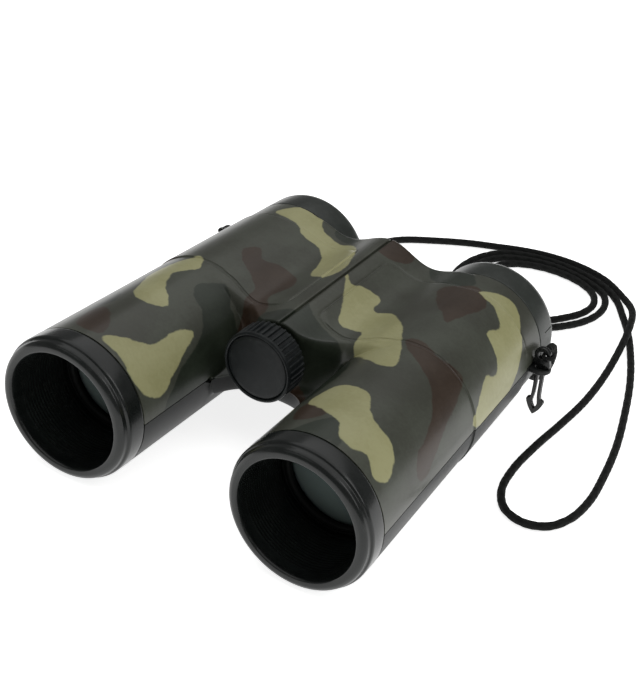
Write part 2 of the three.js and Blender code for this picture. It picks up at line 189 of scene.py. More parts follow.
def turned(name, outline, side=0, centre=None, height=0.0, radius=0.25, segments=160, closed=True):
    # side leans the piece along a barrel's axis; centre puts it about a straight axis instead
    points, rims = softened(outline, radius)
    count = len(points)
    angles = np.arange(segments) * 2 * math.pi / segments
    ring = np.zeros((segments, count, 3))
    axis = side * barrelAxis(points[:, 1]) if centre is None else np.full(count, float(centre))
    ring[:, :, 0] = axis + points[:, 0] * np.cos(angles)[:, None]
    ring[:, :, 1] = points[:, 1]
    ring[:, :, 2] = height + points[:, 0] * np.sin(angles)[:, None]
    faces = []
    spans = count if closed else count - 1
    for s in range(segments):
        t = (s + 1) % segments
        for i in range(spans):
            j = (i + 1) % count
            faces.append((s * count + i, s * count + j, t * count + j, t * count + i))
    obj = addMesh(name, ring.reshape(-1, 3), faces, attributes=dict(rim=np.tile(rims, segments)))
    return keepEdges(obj, 50)


def bandFaces(k, n):
    # the quads between ring k and the next of n points each
    low, high = k * n, (k + 1) * n
    return [(low + i, low + (i + 1) % n, high + (i + 1) % n, high + i) for i in range(n)]


def boxTool(x0, x1, y0, y1, z0, z1):
    points = [(x, y, z) for x in (x0, x1) for y in (y0, y1) for z in (z0, z1)]
    faces = [(0, 1, 3, 2), (4, 6, 7, 5), (0, 4, 5, 1), (2, 3, 7, 6), (0, 2, 6, 4), (1, 5, 7, 3)]
    return addMesh("tool", points, faces, smooth=False)


def standingRod(radius, x, y, z0, z1, segments=48):
    angles = np.arange(segments) * 2 * math.pi / segments
    low = [(x + radius * math.cos(a), y + radius * math.sin(a), z0) for a in angles]
    high = [(px, py, z1) for px, py, _ in low]
    faces = [tuple(range(segments)), tuple(range(segments, 2 * segments))]
    faces += [(i, (i + 1) % segments, segments + (i + 1) % segments, segments + i) for i in range(segments)]
    return addMesh("tool", low + high, faces, smooth=False)


def lyingRod(radius, y0, y1, height, segments=96):
    return turned("tool", [(0, y0), (radius, y0), (radius, y1), (0, y1)], centre=0, height=height,
                  radius=0.0001, segments=segments, closed=False)


# ---- neck cord: the route of its middle line, from the right clip to the left one ----
neckCord = dict(diameter=2.6, sides=18, ringStep=0.42, strands=8, pitch=5.0, relief=0.07,
                lugX=59.3, lugY=109.4, clipThickness=1.7, knotRadius=1.85)
knotY = neckCord["lugY"] + neckCord["clipThickness"] / 2 + shape["gap"] + neckCord["knotRadius"]
cordStart = knotY + 0.6  # just inside the knots
onFloor = -shape["ringRadius"] + neckCord["diameter"] / 2
cordRoute = [
    (-59.3, cordStart, 4.7), (-58.6, 120, 4.8), (-57.3, 126, 4), (-55.2, 132.5, -0.5), (-52.6, 140, -9),
    (-49.6, 148, -17), (-46.4, 157, -20.9), (-43, 167), (-38.6, 177.5), (-33, 186.8), (-22, 195.3),
    (-11.2, 202), (-2, 206.3), (6.3, 210), (16, 212.8), (28.2, 213.4), (40.6, 210.2), (50.8, 203),
    (58.6, 192.4, -19.3), (62.6, 180.4, -18.6), (65.2, 165.3, -20.2),
    (67, 148.4), (67.8, 131.2), (67, 114.9),
    (65.8, 99.6), (65.6, 84), (67.6, 72.4), (72.6, 65), (79.6, 62.8), (86, 65.6), (89.8, 72.6), (91, 84),
    (89.3, 99.5), (86.3, 115.5), (81.7, 132.4), (75.6, 151.5), (69, 167.6), (62.6, 180.4), (56, 190.8),
    (50.2, 199), (43.4, 204.6), (35, 208), (26, 209.6), (16.5, 209.3), (8, 206.9), (1.5, 202.8),
    (-2.8, 196.4), (-5, 188.6), (-5.2, 180), (-3, 171.4), (2, 163.6), (9.4, 158.4), (18.6, 156.6),
    (28, 158.4), (36, 163.6), (42, 170.2), (46.4, 177.4), (48.6, 185.4), (48, 193.4), (44.4, 200),
    (37.6, 203.9), (29.6, 206.2), (20.4, 206.8), (11.4, 204.6), (4, 200.4), (-0.4, 193.8), (-1.9, 185.8),
    (-0.9, 177.6), (3.4, 169.8), (10, 164.2), (18.4, 161.6), (27, 163), (34.4, 168.4), (40, 175.6),
    (43.8, 183), (44.6, 190.6), (41.6, 197.4), (35.4, 201.8), (27.4, 203.8), (19, 203.4), (11.4, 200.6),
    (5.8, 195.4), (3.6, 188.4), (5, 180.6), (9, 173.4), (14.4, 167, -20.3), (20, 161.4, -18.7),
    (26.4, 156, -18.7), (33.6, 151, -20.6), (40, 144.5), (45.5, 135, -20.4), (51, 127.5, -16.5),
    (55.6, 123, -10), (58.4, 119.6, -3), (59.2, 118, 2), (59.3, 116, 4.4),
    (59.3, cordStart, 4.7),
]


def smoothPath(knots, step):
    # centripetal Catmull-Rom through the knots, then evenly spaced points along it
    knots = np.array(knots, float)
    full = np.vstack([2 * knots[0] - knots[1], knots, 2 * knots[-1] - knots[-2]])
    fine = []
    for i in range(1, len(full) - 2):
        p0, p1, p2, p3 = full[i - 1:i + 3]
        spans = ((p0, p1), (p1, p2), (p2, p3))
        d0, d1, d2 = (max(np.linalg.norm(b - a), 1e-9) ** 0.5 for a, b in spans)
        m1 = ((p1 - p0) / d0 - (p2 - p0) / (d0 + d1) + (p2 - p1) / d1) * d1
        m2 = ((p2 - p1) / d1 - (p3 - p1) / (d1 + d2) + (p3 - p2) / d2) * d1
        t = np.linspace(0, 1, 40, endpoint=False)[:, None]
        fine.append((2 * t**3 - 3 * t**2 + 1) * p1 + (t**3 - 2 * t**2 + t) * m1
                    + (3 * t**2 - 2 * t**3) * p2 + (t**3 - t**2) * m2)
    fine = np.vstack(fine + [knots[-1:]])
    run = np.concatenate([[0], np.cumsum(np.linalg.norm(np.diff(fine, axis=0), axis=1))])
    marks = np.linspace(0, run[-1], int(round(run[-1] / step)) + 1)
    return np.stack([np.interp(marks, run, fine[:, k]) for k in range(3)], axis=1), run[-1]


def braidedTube(name, centres, radius, sides, strands, pitch, relief, closed=False):
    # rings of points round the centres; crossing helices raise the strands by relief
    if closed:
        tangents = np.roll(centres, -1, axis=0) - np.roll(centres, 1, axis=0)
    else:
        tangents = np.gradient(centres, axis=0)
    tangents /= np.linalg.norm(tangents, axis=1)[:, None]
    normal = np.cross(tangents[0], (0.3, 0.2, 0.93))
    run = 0.0
    rings, along = [], []
    angles = np.arange(sides) * 2 * math.pi / sides
    for i, (centre, tangent) in enumerate(zip(centres, tangents)):
        normal = normal - tangent * normal.dot(tangent)
        normal /= np.linalg.norm(normal)
        run += np.linalg.norm(centre - centres[i - 1]) if i else 0.0
        turn = run / pitch * 2 * math.pi
        weave = np.maximum(np.sin(strands / 2 * angles + turn), np.sin(strands / 2 * angles - turn))
        reach = radius - relief + relief * weave
        around = np.outer(np.cos(angles), normal) + np.outer(np.sin(angles), np.cross(tangent, normal))
        rings.append(centre + around * reach[:, None])
        along.append(run)
    count = len(rings)
    faces = []
    for i in range(count if closed else count - 1):
        nextRing = (i + 1) % count
        for k in range(sides):
            m = (k + 1) % sides
            faces.append((i * sides + k, i * sides + m, nextRing * sides + m, nextRing * sides + k))
    points = np.vstack(rings)
    along, around = np.repeat(along, sides), np.tile(np.arange(sides) / sides, count)
    if not closed:
        points = np.vstack([points, centres[:1], centres[-1:]])
        last = (count - 1) * sides
        faces += [((k + 1) % sides, k, count * sides) for k in range(sides)]
        faces += [(last + k, last + (k + 1) % sides, count * sides + 1) for k in range(sides)]
        along, around = np.append(along, [0, run]), np.append(around, [0, 0])
    return addMesh(name, points, faces, tidy=False,
                   attributes=dict(along=along, roundShare=around))


cordKnots = [p if len(p) == 3 else (*p, onFloor) for p in cordRoute]
cordCentres, cordLength = smoothPath(cordKnots, neckCord["ringStep"])
cordPiece = braidedTube("neckCord", cordCentres, neckCord["diameter"] / 2, neckCord["sides"],
                        neckCord["strands"], neckCord["pitch"], neckCord["relief"])
print("neck cord laid,", round(cordLength), "mm")
cordKnot = dict(scale=0.36, radius=0.66, loopRadius=0.58, height=4.7)


def makeKnot(name, side):
    # an overhand knot behind the clip's eye, and the loop that goes through the eye
    t = np.linspace(0, 2 * math.pi, 90, endpoint=False)
    wound = np.stack([np.sin(t) + 2 * np.sin(2 * t), -np.sin(3 * t) * 1.25,
                      np.cos(t) - 2 * np.cos(2 * t)], axis=1)
    centres = wound * cordKnot["scale"] + (side * neckCord["lugX"], knotY, cordKnot["height"])
    knot = braidedTube(name, centres, cordKnot["radius"], 14, 8, 3.0, 0.04, closed=True)
    eyeY = neckCord["lugY"]
    loop = [(0, 2.6, 4.4), (0, 1.2, 4.6), (0.1, 0, 4.7), (0.7, -1.3, 4.9), (1.9, -1.6, 5), (3, -1, 4.9),
            (3.35, 0.4, 4.8), (2.7, 1.8, 4.7), (1.2, 2.6, 4.6)]
    path, _ = smoothPath([(side * (neckCord["lugX"] + x), eyeY + y, z) for x, y, z in loop], 0.35)
    eyeLoop = braidedTube("tool", path, cordKnot["loopRadius"], 14, 8, 3.0, 0.04)
    joinInto(knot, eyeLoop)
    return knot


def joinInto(target, *others):
    for other in others:
        work = bmesh.new()
        work.from_mesh(target.data)
        work.from_mesh(other.data)
        work.to_mesh(target.data)
        work.free()
        discard(other)
    return target


knots = {side: makeKnot(name, side) for name, side in (("leftKnot", 1), ("rightKnot", -1))}


# ---- the two shells ----
def ease(t):
    u = np.clip(t, 0, 1)
    return u * u * (3 - 2 * u)


def crest(x):
    t = np.abs(x) / shape["bridgeReach"]
    return shape["bridgeHeight"] - 1.9 * t * t - 4.4 * np.sin(math.pi * t) ** 2


def ridgeY(x):
    return 49.3 + 8.5 * ease((np.abs(x) - 5) / 13)


def webY(x):
    return 47.6 - 9 * np.minimum(np.abs(x) / 15.4, 1) ** 4


panel = dict(inner=5.5, front=61.0, corner=4.0, slope=0.3, foot=0.14, footWidth=0.35)
halfColumns = dict(barrel=74, bridge=34, strip=8)


def panelStep(distance):
    # height of the raised panel at a distance inside its border, with a fine line at its foot
    rise = shape["bandHeight"] * ease(distance / panel["slope"])
    foot = -panel["foot"] * np.clip(1 - np.abs(distance + panel["footWidth"]) / panel["footWidth"], 0, 1)
    return rise + foot


def panelFront(x):
    return panel["front"] + (shape["bandStart"] - panel["front"]) * ease((np.abs(x) - 14) / 19)


def panelDepth(x, y, bridge):
    # how far inside the raised panel's border a point is
    lengthways = np.minimum(y - panelFront(x), shape["bandEnd"] - y)
    if not bridge:
        return lengthways
    across = np.abs(x) - panel["inner"]
    corner = panel["corner"]
    rounded = corner - np.hypot(np.maximum(corner - across, 0), np.maximum(corner - lengthways, 0))
    return np.where((across < corner) & (lengthways < corner), rounded, np.minimum(across, lengthways))


def rowPoints(row, partHeight, columns):
    # one row of a half shell: from the outer parting line over the barrel, then over the bridge to x = 0
    barrelY = float(row["y"](np.array([shape["bridgeReach"]]))[0])
    axis, radius = barrelAxis(barrelY), barrelRadius(barrelY)
    start = math.asin(partHeight / radius)
    stop = math.pi - start
    if row["bridge"]:
        x = np.linspace(axis - radius + 1e-3, 33.5, 1200)
        y = row["y"](x)
        barrelHeight = np.sqrt(np.maximum(barrelRadius(y) ** 2 - (barrelAxis(y) - x) ** 2, 0))
        lower = np.nonzero(barrelHeight <= row["z"](x))[0]
        joinX = x[lower[-1]] if len(lower) else x[0]
        stop = math.pi - math.acos(min((axis - joinX) / radius, 1))
    angles = np.linspace(start, stop, columns["barrel"])
    barrel = np.zeros((len(angles), 3))
    barrel[:, 0] = axis + radius * np.cos(angles)
    barrel[:, 1] = barrelY
    barrel[:, 2] = radius * np.sin(angles)
    for _ in range(3):
        if row["bridge"]:
            barrel[:, 1] = row["y"](np.minimum(barrel[:, 0], shape["bridgeReach"]))
        local = barrelRadius(barrel[:, 1])
        barrel[:, 0] = barrelAxis(barrel[:, 1]) + local * np.cos(angles)
        barrel[:, 2] = local * np.sin(angles)
    if not row["bridge"]:
        return barrel, None
    x = np.concatenate([
        np.linspace(barrel[-1, 0], panel["inner"] + 0.8, columns["bridge"])[1:],
        panel["inner"] + np.array([0.5, 0.3, 0.15, 0, -0.2, -0.35, -0.7]),
        np.linspace(panel["inner"] - 1.1, 1.4, columns["strip"]),
        [1.0, 0.8, 0.62, 0.52, 0.44, 0.4, 0],
    ])
    across = np.stack([x, row["y"](x), row["z"](x)], axis=1)
    join = columns["barrel"] - 1
    line = np.vstack([barrel, across])
    away = np.abs(np.arange(len(line)) - join)
    weight = np.clip(1 - away / row.get("fillet", 5), 0, 1)[:, None]
    for _ in range(12):
        middle = (np.roll(line, 1, axis=0) + np.roll(line, -1, axis=0)) / 2
        line = line + weight * (middle - line) * 0.8
    return line[:join + 1], line[join + 1:]


def halfSheet(rows, partHeight, columns):
    # points of a half shell's outer surface and its faces; bridge columns begin where the web does
    points, faces, place = [], [], []
    for row in rows:
        barrel, across = rowPoints(row, partHeight, columns)
        line = barrel if across is None else np.vstack([barrel, across])
        if row.get("wall"):
            line = np.vstack([line[columns["barrel"] - 1:columns["barrel"]], across])
        place.append((len(points), len(line), row))
        points.extend(line)
    for (a, na, rowA), (b, nb, rowB) in zip(place, place[1:]):
        if rowB.get("wall"):
            offset = columns["barrel"] - 1
            shift = 0 if rowA.get("wall") else offset
            for k in range(nb - 1):
                faces.append((a + shift + k, a + shift + k + 1, b + k + 1, b + k))
            continue
        for k in range(min(na, nb) - 1):
            faces.append((a + k, a + k + 1, b + k + 1, b + k))
    return np.array(points), faces


def shellBody(name, rows, partHeight, detail, upward):
    # both halves as one closed skin: an outer surface, an inner one, and rims between them
    sign = 1 if upward else -1
    plain, faces = halfSheet(rows, partHeight, halfColumns)
    count = len(plain)
    both = np.vstack([plain, plain * (-1, 1, 1)])
    faces = faces + [tuple(count + i for i in reversed(f)) for f in faces]
    mesh = bpy.data.meshes.new("tool")
    mesh.from_pydata((both * (1, 1, sign)).tolist(), [], faces)
    work = bmesh.new()
    work.from_mesh(mesh)
    bpy.data.meshes.remove(mesh)
    middle = [v for v in work.verts if abs(v.co.x) < 1e-6]
    bmesh.ops.remove_doubles(work, verts=middle, dist=1e-4)
    bmesh.ops.recalc_face_normals(work, faces=work.faces)
    work.verts.ensure_lookup_table()
    work.faces.ensure_lookup_table()
    top = max(work.faces, key=lambda f: f.calc_center_median().z * sign)
    if top.normal.z * sign < 0:
        bmesh.ops.reverse_faces(work, faces=work.faces)
    work.verts.index_update()
    outer = np.array([v.co for v in work.verts])
    normals = np.array([v.normal for v in work.verts])
    inner = outer - normals * shape["wall"]
    onRim = np.array([any(e.is_boundary for e in v.link_edges) for v in work.verts])
    inside = np.nonzero(~onRim)[0]
    edges = np.array([[e.verts[0].index, e.verts[1].index] for e in work.edges])
    degree = np.bincount(edges.ravel(), minlength=len(outer)).astype(float)[:, None]
    for _ in range(10):
        total = np.zeros_like(inner)
        np.add.at(total, edges[:, 0], inner[edges[:, 1]])
        np.add.at(total, edges[:, 1], inner[edges[:, 0]])
        inner[inside] += 0.6 * (total / degree - inner)[inside]
    skin = [tuple(v.index for v in f.verts) for f in work.faces]
    rimFaces = []
    for e in work.edges:
        if e.is_boundary:
            loop = e.link_loops[0]
            a, b = loop.vert.index, loop.link_loop_next.vert.index
            rimFaces.append((b, a, a + len(outer), b + len(outer)))
    work.free()
    shown = detail(outer, normals)
    allFaces = skin + [tuple(i + len(outer) for i in reversed(f)) for f in skin] + rimFaces
    return addMesh(name, np.vstack([shown, inner]), allFaces)


def fixedY(value):
    return lambda x: np.full_like(np.asarray(x, float), value)


topPart = shape["parting"] + shape["gap"] / 2
bottomPart = -(shape["parting"] - shape["gap"] / 2)
shellFront = shape["ringEnd"] + shape["gap"] / 2
shellRear = shape["capStart"] - shape["gap"] / 2


def topRows():
    rows = []
    webStart = float(webY(18.0))
    for y in np.linspace(shellFront, webStart, 20)[:-1]:
        rows.append(dict(y=fixedY(y), bridge=False))

    def lip(x):
        return 1.3 + 4.2 * ease((np.abs(x) - 3) / 15)  # radius of the ridge, softer towards the barrels

    for angle in np.linspace(0, math.pi / 2, 30):
        rows.append(dict(
            y=lambda x, a=angle: webY(x) + (ridgeY(x) - webY(x)) * math.sin(a),
            z=lambda x, a=angle: topPart + (crest(x) - lip(x) - topPart) * (1 - math.cos(a)),
            bridge=True))
    for angle in np.linspace(0, math.pi / 2, 9)[1:]:
        rows.append(dict(
            y=lambda x, b=angle: ridgeY(x) + lip(x) * (1 - math.cos(b)) * 0.5,
            z=lambda x, b=angle: crest(x) - lip(x) * (1 - math.sin(b)),
            bridge=True))

    def start(x):
        return ridgeY(x) + lip(x) * 0.5

    def between(low, high, shares):
        for share in shares:
            rows.append(dict(y=lambda x, s=share: low(x) + (high(x) - low(x)) * s, z=crest, bridge=True))

    footEnd = 2 * panel["footWidth"]
    stepRows = [-footEnd, -0.5, -panel["footWidth"], -0.15, 0, 0.08, 0.16, 0.24, 0.32, 0.6]
    between(start, lambda x: panelFront(x) - 0.9, np.linspace(0, 1, 8)[1:])
    for offset in stepRows:
        rows.append(dict(y=lambda x, o=offset: panelFront(x) + o, z=crest, bridge=True))
    between(lambda x: panelFront(x) + 0.6, fixedY(shape["bandEnd"] - 0.6), np.linspace(0, 1, 38)[1:-1])
    for offset in reversed(stepRows):
        rows.append(dict(y=fixedY(shape["bandEnd"] - offset), z=crest, bridge=True))
    edge = 1.2
    between(fixedY(shape["bandEnd"] + footEnd), fixedY(shellRear - edge), np.linspace(0, 1, 11)[1:])
    for angle in np.linspace(0, math.pi / 2, 6)[1:]:
        rows.append(dict(y=fixedY(shellRear - edge + edge * math.sin(angle)),
                         z=lambda x, b=angle: crest(x) - edge * (1 - math.cos(b)), bridge=True))
    for share in np.linspace(0, 1, 12)[1:]:
        rows.append(dict(y=fixedY(shellRear), wall=True, bridge=True,
                         z=lambda x, s=share: topPart + (crest(x) - edge - topPart) * (1 - s)))
    return rows


def topDetail(outer, normals):
    # the raised panels and the groove along the middle
    x, y, z = outer.T
    shown = outer.copy()
    onBarrel = np.abs(np.hypot(np.abs(x) - barrelAxis(y), z) - barrelRadius(y)) < 0.05
    depth = np.where(onBarrel & (np.abs(x) > 26), panelDepth(x, y, False), panelDepth(x, y, True))
    rear = y > shellRear - 0.01
    depth = np.where(rear, -9, depth)
    shown += normals * panelStep(depth)[:, None]
    groove = np.interp(np.abs(x), [0, 0.4, 0.44, 0.52, 0.62, 0.8, 1.0], [0.9, 0.9, 0.5, 0.2, 0.08, 0.02, 0])
    groove *= ease((z - 6) / 4) * (np.abs(normals[:, 2]) > 0.5)
    shown[:, 2] -= groove
    return shown


def bottomRows():
    rows = []
    depth = -shape["webBottom"]
    webStart = float(webY(18.0))
    rounding = 2.6
    for y in np.linspace(shellFront, webStart, 14)[:-1]:
        rows.append(dict(y=fixedY(y), bridge=False))
    for angle in np.linspace(0, math.pi / 2, 10):
        rows.append(dict(
            y=lambda x, a=angle: webY(x) + rounding * (1 - math.cos(a)),
            z=lambda x, a=angle: bottomPart + (depth - bottomPart) * math.sin(a) + 0 * x,
            bridge=True, fillet=3))

    def low(x):
        return webY(x) + rounding

    def stretch(first, last, shares):
        for share in shares:
            rows.append(dict(y=lambda x, s=share: first(x) + (last(x) - first(x)) * s,
                             z=lambda x: depth + 0 * x, bridge=True, fillet=3))

    stretch(low, fixedY(shape["bandStart"] - 0.7), np.linspace(0, 1, 12)[1:])
    for offset in (-0.5, -0.35, -0.15, 0, 0.16, 0.32):
        stretch(fixedY(shape["bandStart"] + offset), fixedY(0), [0])
    stretch(fixedY(shape["bandStart"] + 0.6), fixedY(shape["bandEnd"] - 0.6), np.linspace(0, 1, 16))
    for offset in (0.32, 0.16, 0, -0.15, -0.35, -0.5):
        stretch(fixedY(shape["bandEnd"] - offset), fixedY(0), [0])
    stretch(fixedY(shape["bandEnd"] + 0.8), fixedY(shellRear), np.linspace(0, 1, 6))
    for share in np.linspace(0, 1, 6)[1:]:
        rows.append(dict(y=fixedY(shellRear), wall=True, bridge=True, fillet=3,
                         z=lambda x, s=share: bottomPart + (depth - bottomPart) * (1 - s) + 0 * x))
    return rows


def bottomDetail(outer, normals):
    x, y, z = outer.T
    shown = outer.copy()
    onBarrel = np.abs(np.hypot(np.abs(x) - barrelAxis(y), z) - barrelRadius(y)) < 0.05
    depth = np.where(onBarrel & (y < shellRear - 0.01), panelDepth(x * 0 + 40, y, False), -9)
    return shown + normals * panelStep(depth)[:, None]


topShell = shellBody("topShell", topRows(), topPart, topDetail, True)
wheelCentre = dict(height=11.73, radius=11.4, front=37.95, back=46.9)
pocketRadius = wheelCentre["radius"] + 0.6
cut(topShell, lyingRod(pocketRadius, 20, wheelCentre["back"] + shape["gap"], wheelCentre["height"]))
cut(topShell, lyingRod(2.7, 40, 60, wheelCentre["height"], 32))
keepEdges(topShell, 28)
print("top shell made,", len(topShell.data.polygons), "faces")

bottomShell = shellBody("bottomShell", bottomRows(), bottomPart, bottomDetail, False)
screws = dict(spread=(9.0, 75.0, 106.0), well=2.9, wellTop=-3.6, boss=4.0, pilot=1.4)


def placedAtScrews():
    return [(side * screws["spread"][0], y) for side in (-1, 1) for y in screws["spread"][1:]]


lug = dict(radius=3.2, top=0.5, thickness=1.6, hole=1.95, root=52.0)


def lugTool(side):
    angles = np.linspace(-math.pi / 2, math.pi / 2, 25)
    x0, y0 = neckCord["lugX"], neckCord["lugY"]
    outline = [(lug["root"], y0 - lug["radius"])]
    outline += [(x0 + lug["radius"] * math.cos(a), y0 + lug["radius"] * math.sin(a)) for a in angles]
    outline += [(lug["root"], y0 + lug["radius"])]
    edge = 0.3
    levels = [(lug["top"] - lug["thickness"], edge), (lug["top"] - lug["thickness"] + edge, 0),
              (lug["top"] - edge, 0), (lug["top"], edge)]
    points = []
    for z, inset in levels:
        for x, y in outline:
            away = math.hypot(x - x0, y - y0) if x > x0 else abs(y - y0)
            shrink = 1 - inset / max(away, 1)
            points.append((side * (x0 + (x - x0) * shrink if x > x0 else x), y0 + (y - y0) * shrink, z))
    n = len(outline)
    faces = [tuple(range(n)), tuple(range(3 * n, 4 * n))]
    for k in range(3):
        faces += bandFaces(k, n)
    tab = addMesh("tool", points, faces, smooth=False)
    return cut(tab, standingRod(lug["hole"], side * x0, y0, -6, 6, 40))


for side in (-1, 1):
    cut(bottomShell, lugTool(side), "UNION")
for x, y in placedAtScrews():
    cut(bottomShell, standingRod(screws["boss"], x, y, shape["webBottom"] + 0.3, -0.5), "UNION")
    cut(bottomShell, standingRod(screws["well"], x, y, shape["webBottom"] - 2, screws["wellTop"]))
    cut(bottomShell, standingRod(screws["pilot"], x, y, -5, 3, 24))
cut(bottomShell, lyingRod(pocketRadius, 20, wheelCentre["back"] + shape["gap"], wheelCentre["height"]))
keepEdges(bottomShell, 28)
print("bottom shell made,", len(bottomShell.data.polygons), "faces")

# ---- turned pieces ----
bore = 18.43
face = shape["lipFace"]
# fine ribs in the bore
innerRibs = [(bore + (0.22 if k % 2 else 0), 20.2 - 0.55 * k) for k in range(33)]
objectiveRing = [
    (bore + 0.1, face + 1.0), (18.95, face), (20.5, face), (21.5, face + 0.55), (21.95, face + 1.3),
    (22.0, 0.55), (22.1, 1.1), (22.55, 1.35), (22.8, 2.0), (22.8, 7.05), (22.6, 7.45), (19.6, 7.45),
    (19.6, 34), (bore, 34),
] + innerRibs
rearCap = [
    (9.3, 122.6), (12, 123.3), (14.6, 126.6), (15.4, 127.4), (17.4, 127.4), (19, 126.9), (20, 125.9),
    (20.45, 124.4), (barrelRadius(115), 115.45), (barrelRadius(115) - 0.3, 115.15), (18.2, 115.15),
    (18.2, 109), (16.6, 109), (16.6, 120.5), (9.3, 120.5),
]
eyeCell = [(7, 106.8), (10.6, 106.8), (10.6, 108.4), (9, 108.4), (9, 123.2), (8, 123.2), (8, 119.6),
           (7, 119.6)]
eyeRetainer = [(6.6, 122), (7.7, 122), (7.7, 123), (6.9, 123)]
lensRetainer = [(15.1, 21.5), (15.6, 20.9), (16.6, 20.9), (16.6, 22.4), (15.1, 22.4)]


def lensOutline(radius, front, back, frontRise, backRise, steps=14):
    # both faces are shallow bowls; a positive rise bulges outwards
    rings = [radius * k / steps for k in range(steps + 1)]
    near = [(r, front + frontRise * (r / radius) ** 2) for r in rings]
    far = [(r, back - backRise * (r / radius) ** 2) for r in reversed(rings)]
    return near + far


objectiveLens = lensOutline(16.3, 22.3, 27.4, 1.7, 1.7)
eyeLens = lensOutline(7.7, 120.6, 121.0, -0.7, -0.7)
slidingAxis = 38.75
fromDesign = Matrix.Translation(toGround * 0.001) @ Matrix.Scale(0.001, 4)
capSeam = dict(angle=17.0, width=0.34, depth=0.45, y=123.0)


def cutCapSeam(cap, side):
    # the short parting line that runs on from the shells' one
    half = capSeam["width"] / 2
    slot = boxTool(-1, 1, 119.2, 128, -half, half)
    turnUp = Matrix.Rotation(-side * math.radians(capSeam["angle"]), 4, "Y")
    reach = barrelRadius(capSeam["y"]) - capSeam["depth"] + 1
    shift = Matrix.Translation(Vector((side * barrelAxis(capSeam["y"]), 0, 0)))
    outwards = Matrix.Translation(Vector((side * reach, 0, 0)))
    slot.data.transform(fromDesign @ shift @ turnUp @ outwards @ fromDesign.inverted())
    keepEdges(cut(cap, slot), 50)


turnedPieces = {}
for label, side in (("left", 1), ("right", -1)):
    axis = side * slidingAxis
    turnedPieces[label] = dict(
        ring=turned(label + "ObjectiveRing", objectiveRing, side, radius=0.4, segments=180),
        cap=turned(label + "RearCap", rearCap, side, radius=0.5, segments=180),
        eyeCell=turned(label + "EyepieceCell", eyeCell, side, segments=96),
        eyeRetainer=turned(label + "EyepieceRetainer", eyeRetainer, side, radius=0.15, segments=96),
        retainer=turned(label + "LensRetainer", lensRetainer, centre=axis, radius=0.2),
        lens=turned(label + "ObjectiveLens", objectiveLens, centre=axis, radius=0.12, closed=False),
        eyeLens=turned(label + "EyepieceLens", eyeLens, side, radius=0.1, segments=96, closed=False),
    )
    cutCapSeam(turnedPieces[label]["cap"], side)
print("rings, caps and lenses turned")


# ---- focus wheel: a drum with ribs set round it by nodes ----
focusWheel = dict(ribs=36, rootRadius=10.76, ribHeight=0.64, ribWidth=0.86, ribLength=7.7, bead=1.1,
                  face=10.22)


def makeDrum():
    front, back = wheelCentre["front"], wheelCentre["back"]
    outline = [
        (10.35, front + 1.5), (10.35, front + 0.3), (10.6, front), (10.95, front),
        (11.33, front + 0.35), (11.4, front + 0.8), (11.33, front + 1.15),
        (focusWheel["rootRadius"], front + 1.4),
        (focusWheel["rootRadius"], back - 0.2), (10.5, back), (2.7, back),
        (2.7, 43), (1.3, 43), (1.3, 41.3),
        (5, 41.3), (5, front + 1.5),
    ]
    return turned("focusWheel", outline, centre=0, height=wheelCentre["height"], radius=0.12, segments=144)


def makeRibSeed():
    # one rounded rib along Y, its foot at the origin, Z outwards
    half, height, length = focusWheel["ribWidth"] / 2, focusWheel["ribHeight"], focusWheel["ribLength"]
    section = [(-half, -0.15), (-half * 0.92, height * 0.55), (-half * 0.6, height * 0.93), (0, height),
               (half * 0.6, height * 0.93), (half * 0.92, height * 0.55), (half, -0.15)]
    stations = [(0, 0.5), (0.25, 0.85), (0.7, 1), (length - 0.7, 1), (length - 0.2, 0.8), (length, 0.4)]
    points = [(x, y, z * s if z > 0 else z) for y, s in stations for x, z in section]
    n = len(section)
    faces = [tuple(range(n)), tuple(range(len(points) - n, len(points)))]
    for k in range(len(stations) - 1):
        faces += bandFaces(k, n)
    mesh = bpy.data.meshes.new("ribSeed")
    mesh.from_pydata([tuple(0.001 * c for c in p) for p in points], [], faces)
    work = bmesh.new()
    work.from_mesh(mesh)
    bmesh.ops.recalc_face_normals(work, faces=work.faces)
    work.to_mesh(mesh)
    work.free()
    obj = bpy.data.objects.new("ribSeed", mesh)
    bpy.context.scene.collection.objects.link(obj)
    return obj


def newTree(name, inputs):
    # a geometry tree with a Geometry socket and the named inputs, as {name: (socket type, default)}
    tree = bpy.data.node_groups.new(name, "GeometryNodeTree")
    tree.interface.new_socket("Geometry", in_out="INPUT", socket_type="NodeSocketGeometry")
    tree.interface.new_socket("Geometry", in_out="OUTPUT", socket_type="NodeSocketGeometry")
    ids = {}
    for key, (kind, default) in inputs.items():
        socket = tree.interface.new_socket(key, in_out="INPUT", socket_type=kind)
        if default is not None:
            socket.default_value = default
        ids[key] = socket.identifier
    return tree, ids


def treeNode(tree, kind, settings=None, inputs=None):
    node = tree.nodes.new(kind)
    for key, value in (settings or {}).items():
        setattr(node, key, value)
    for key, value in (inputs or {}).items():
        if isinstance(value, bpy.types.NodeSocket):
            tree.links.new(value, node.inputs[key])
        else:
            node.inputs[key].default_value = value
    return node


def treeMath(tree, operation, a, b=0.0):
    return treeNode(tree, "ShaderNodeMath", dict(operation=operation), {0: a, 1: b}).outputs[0]


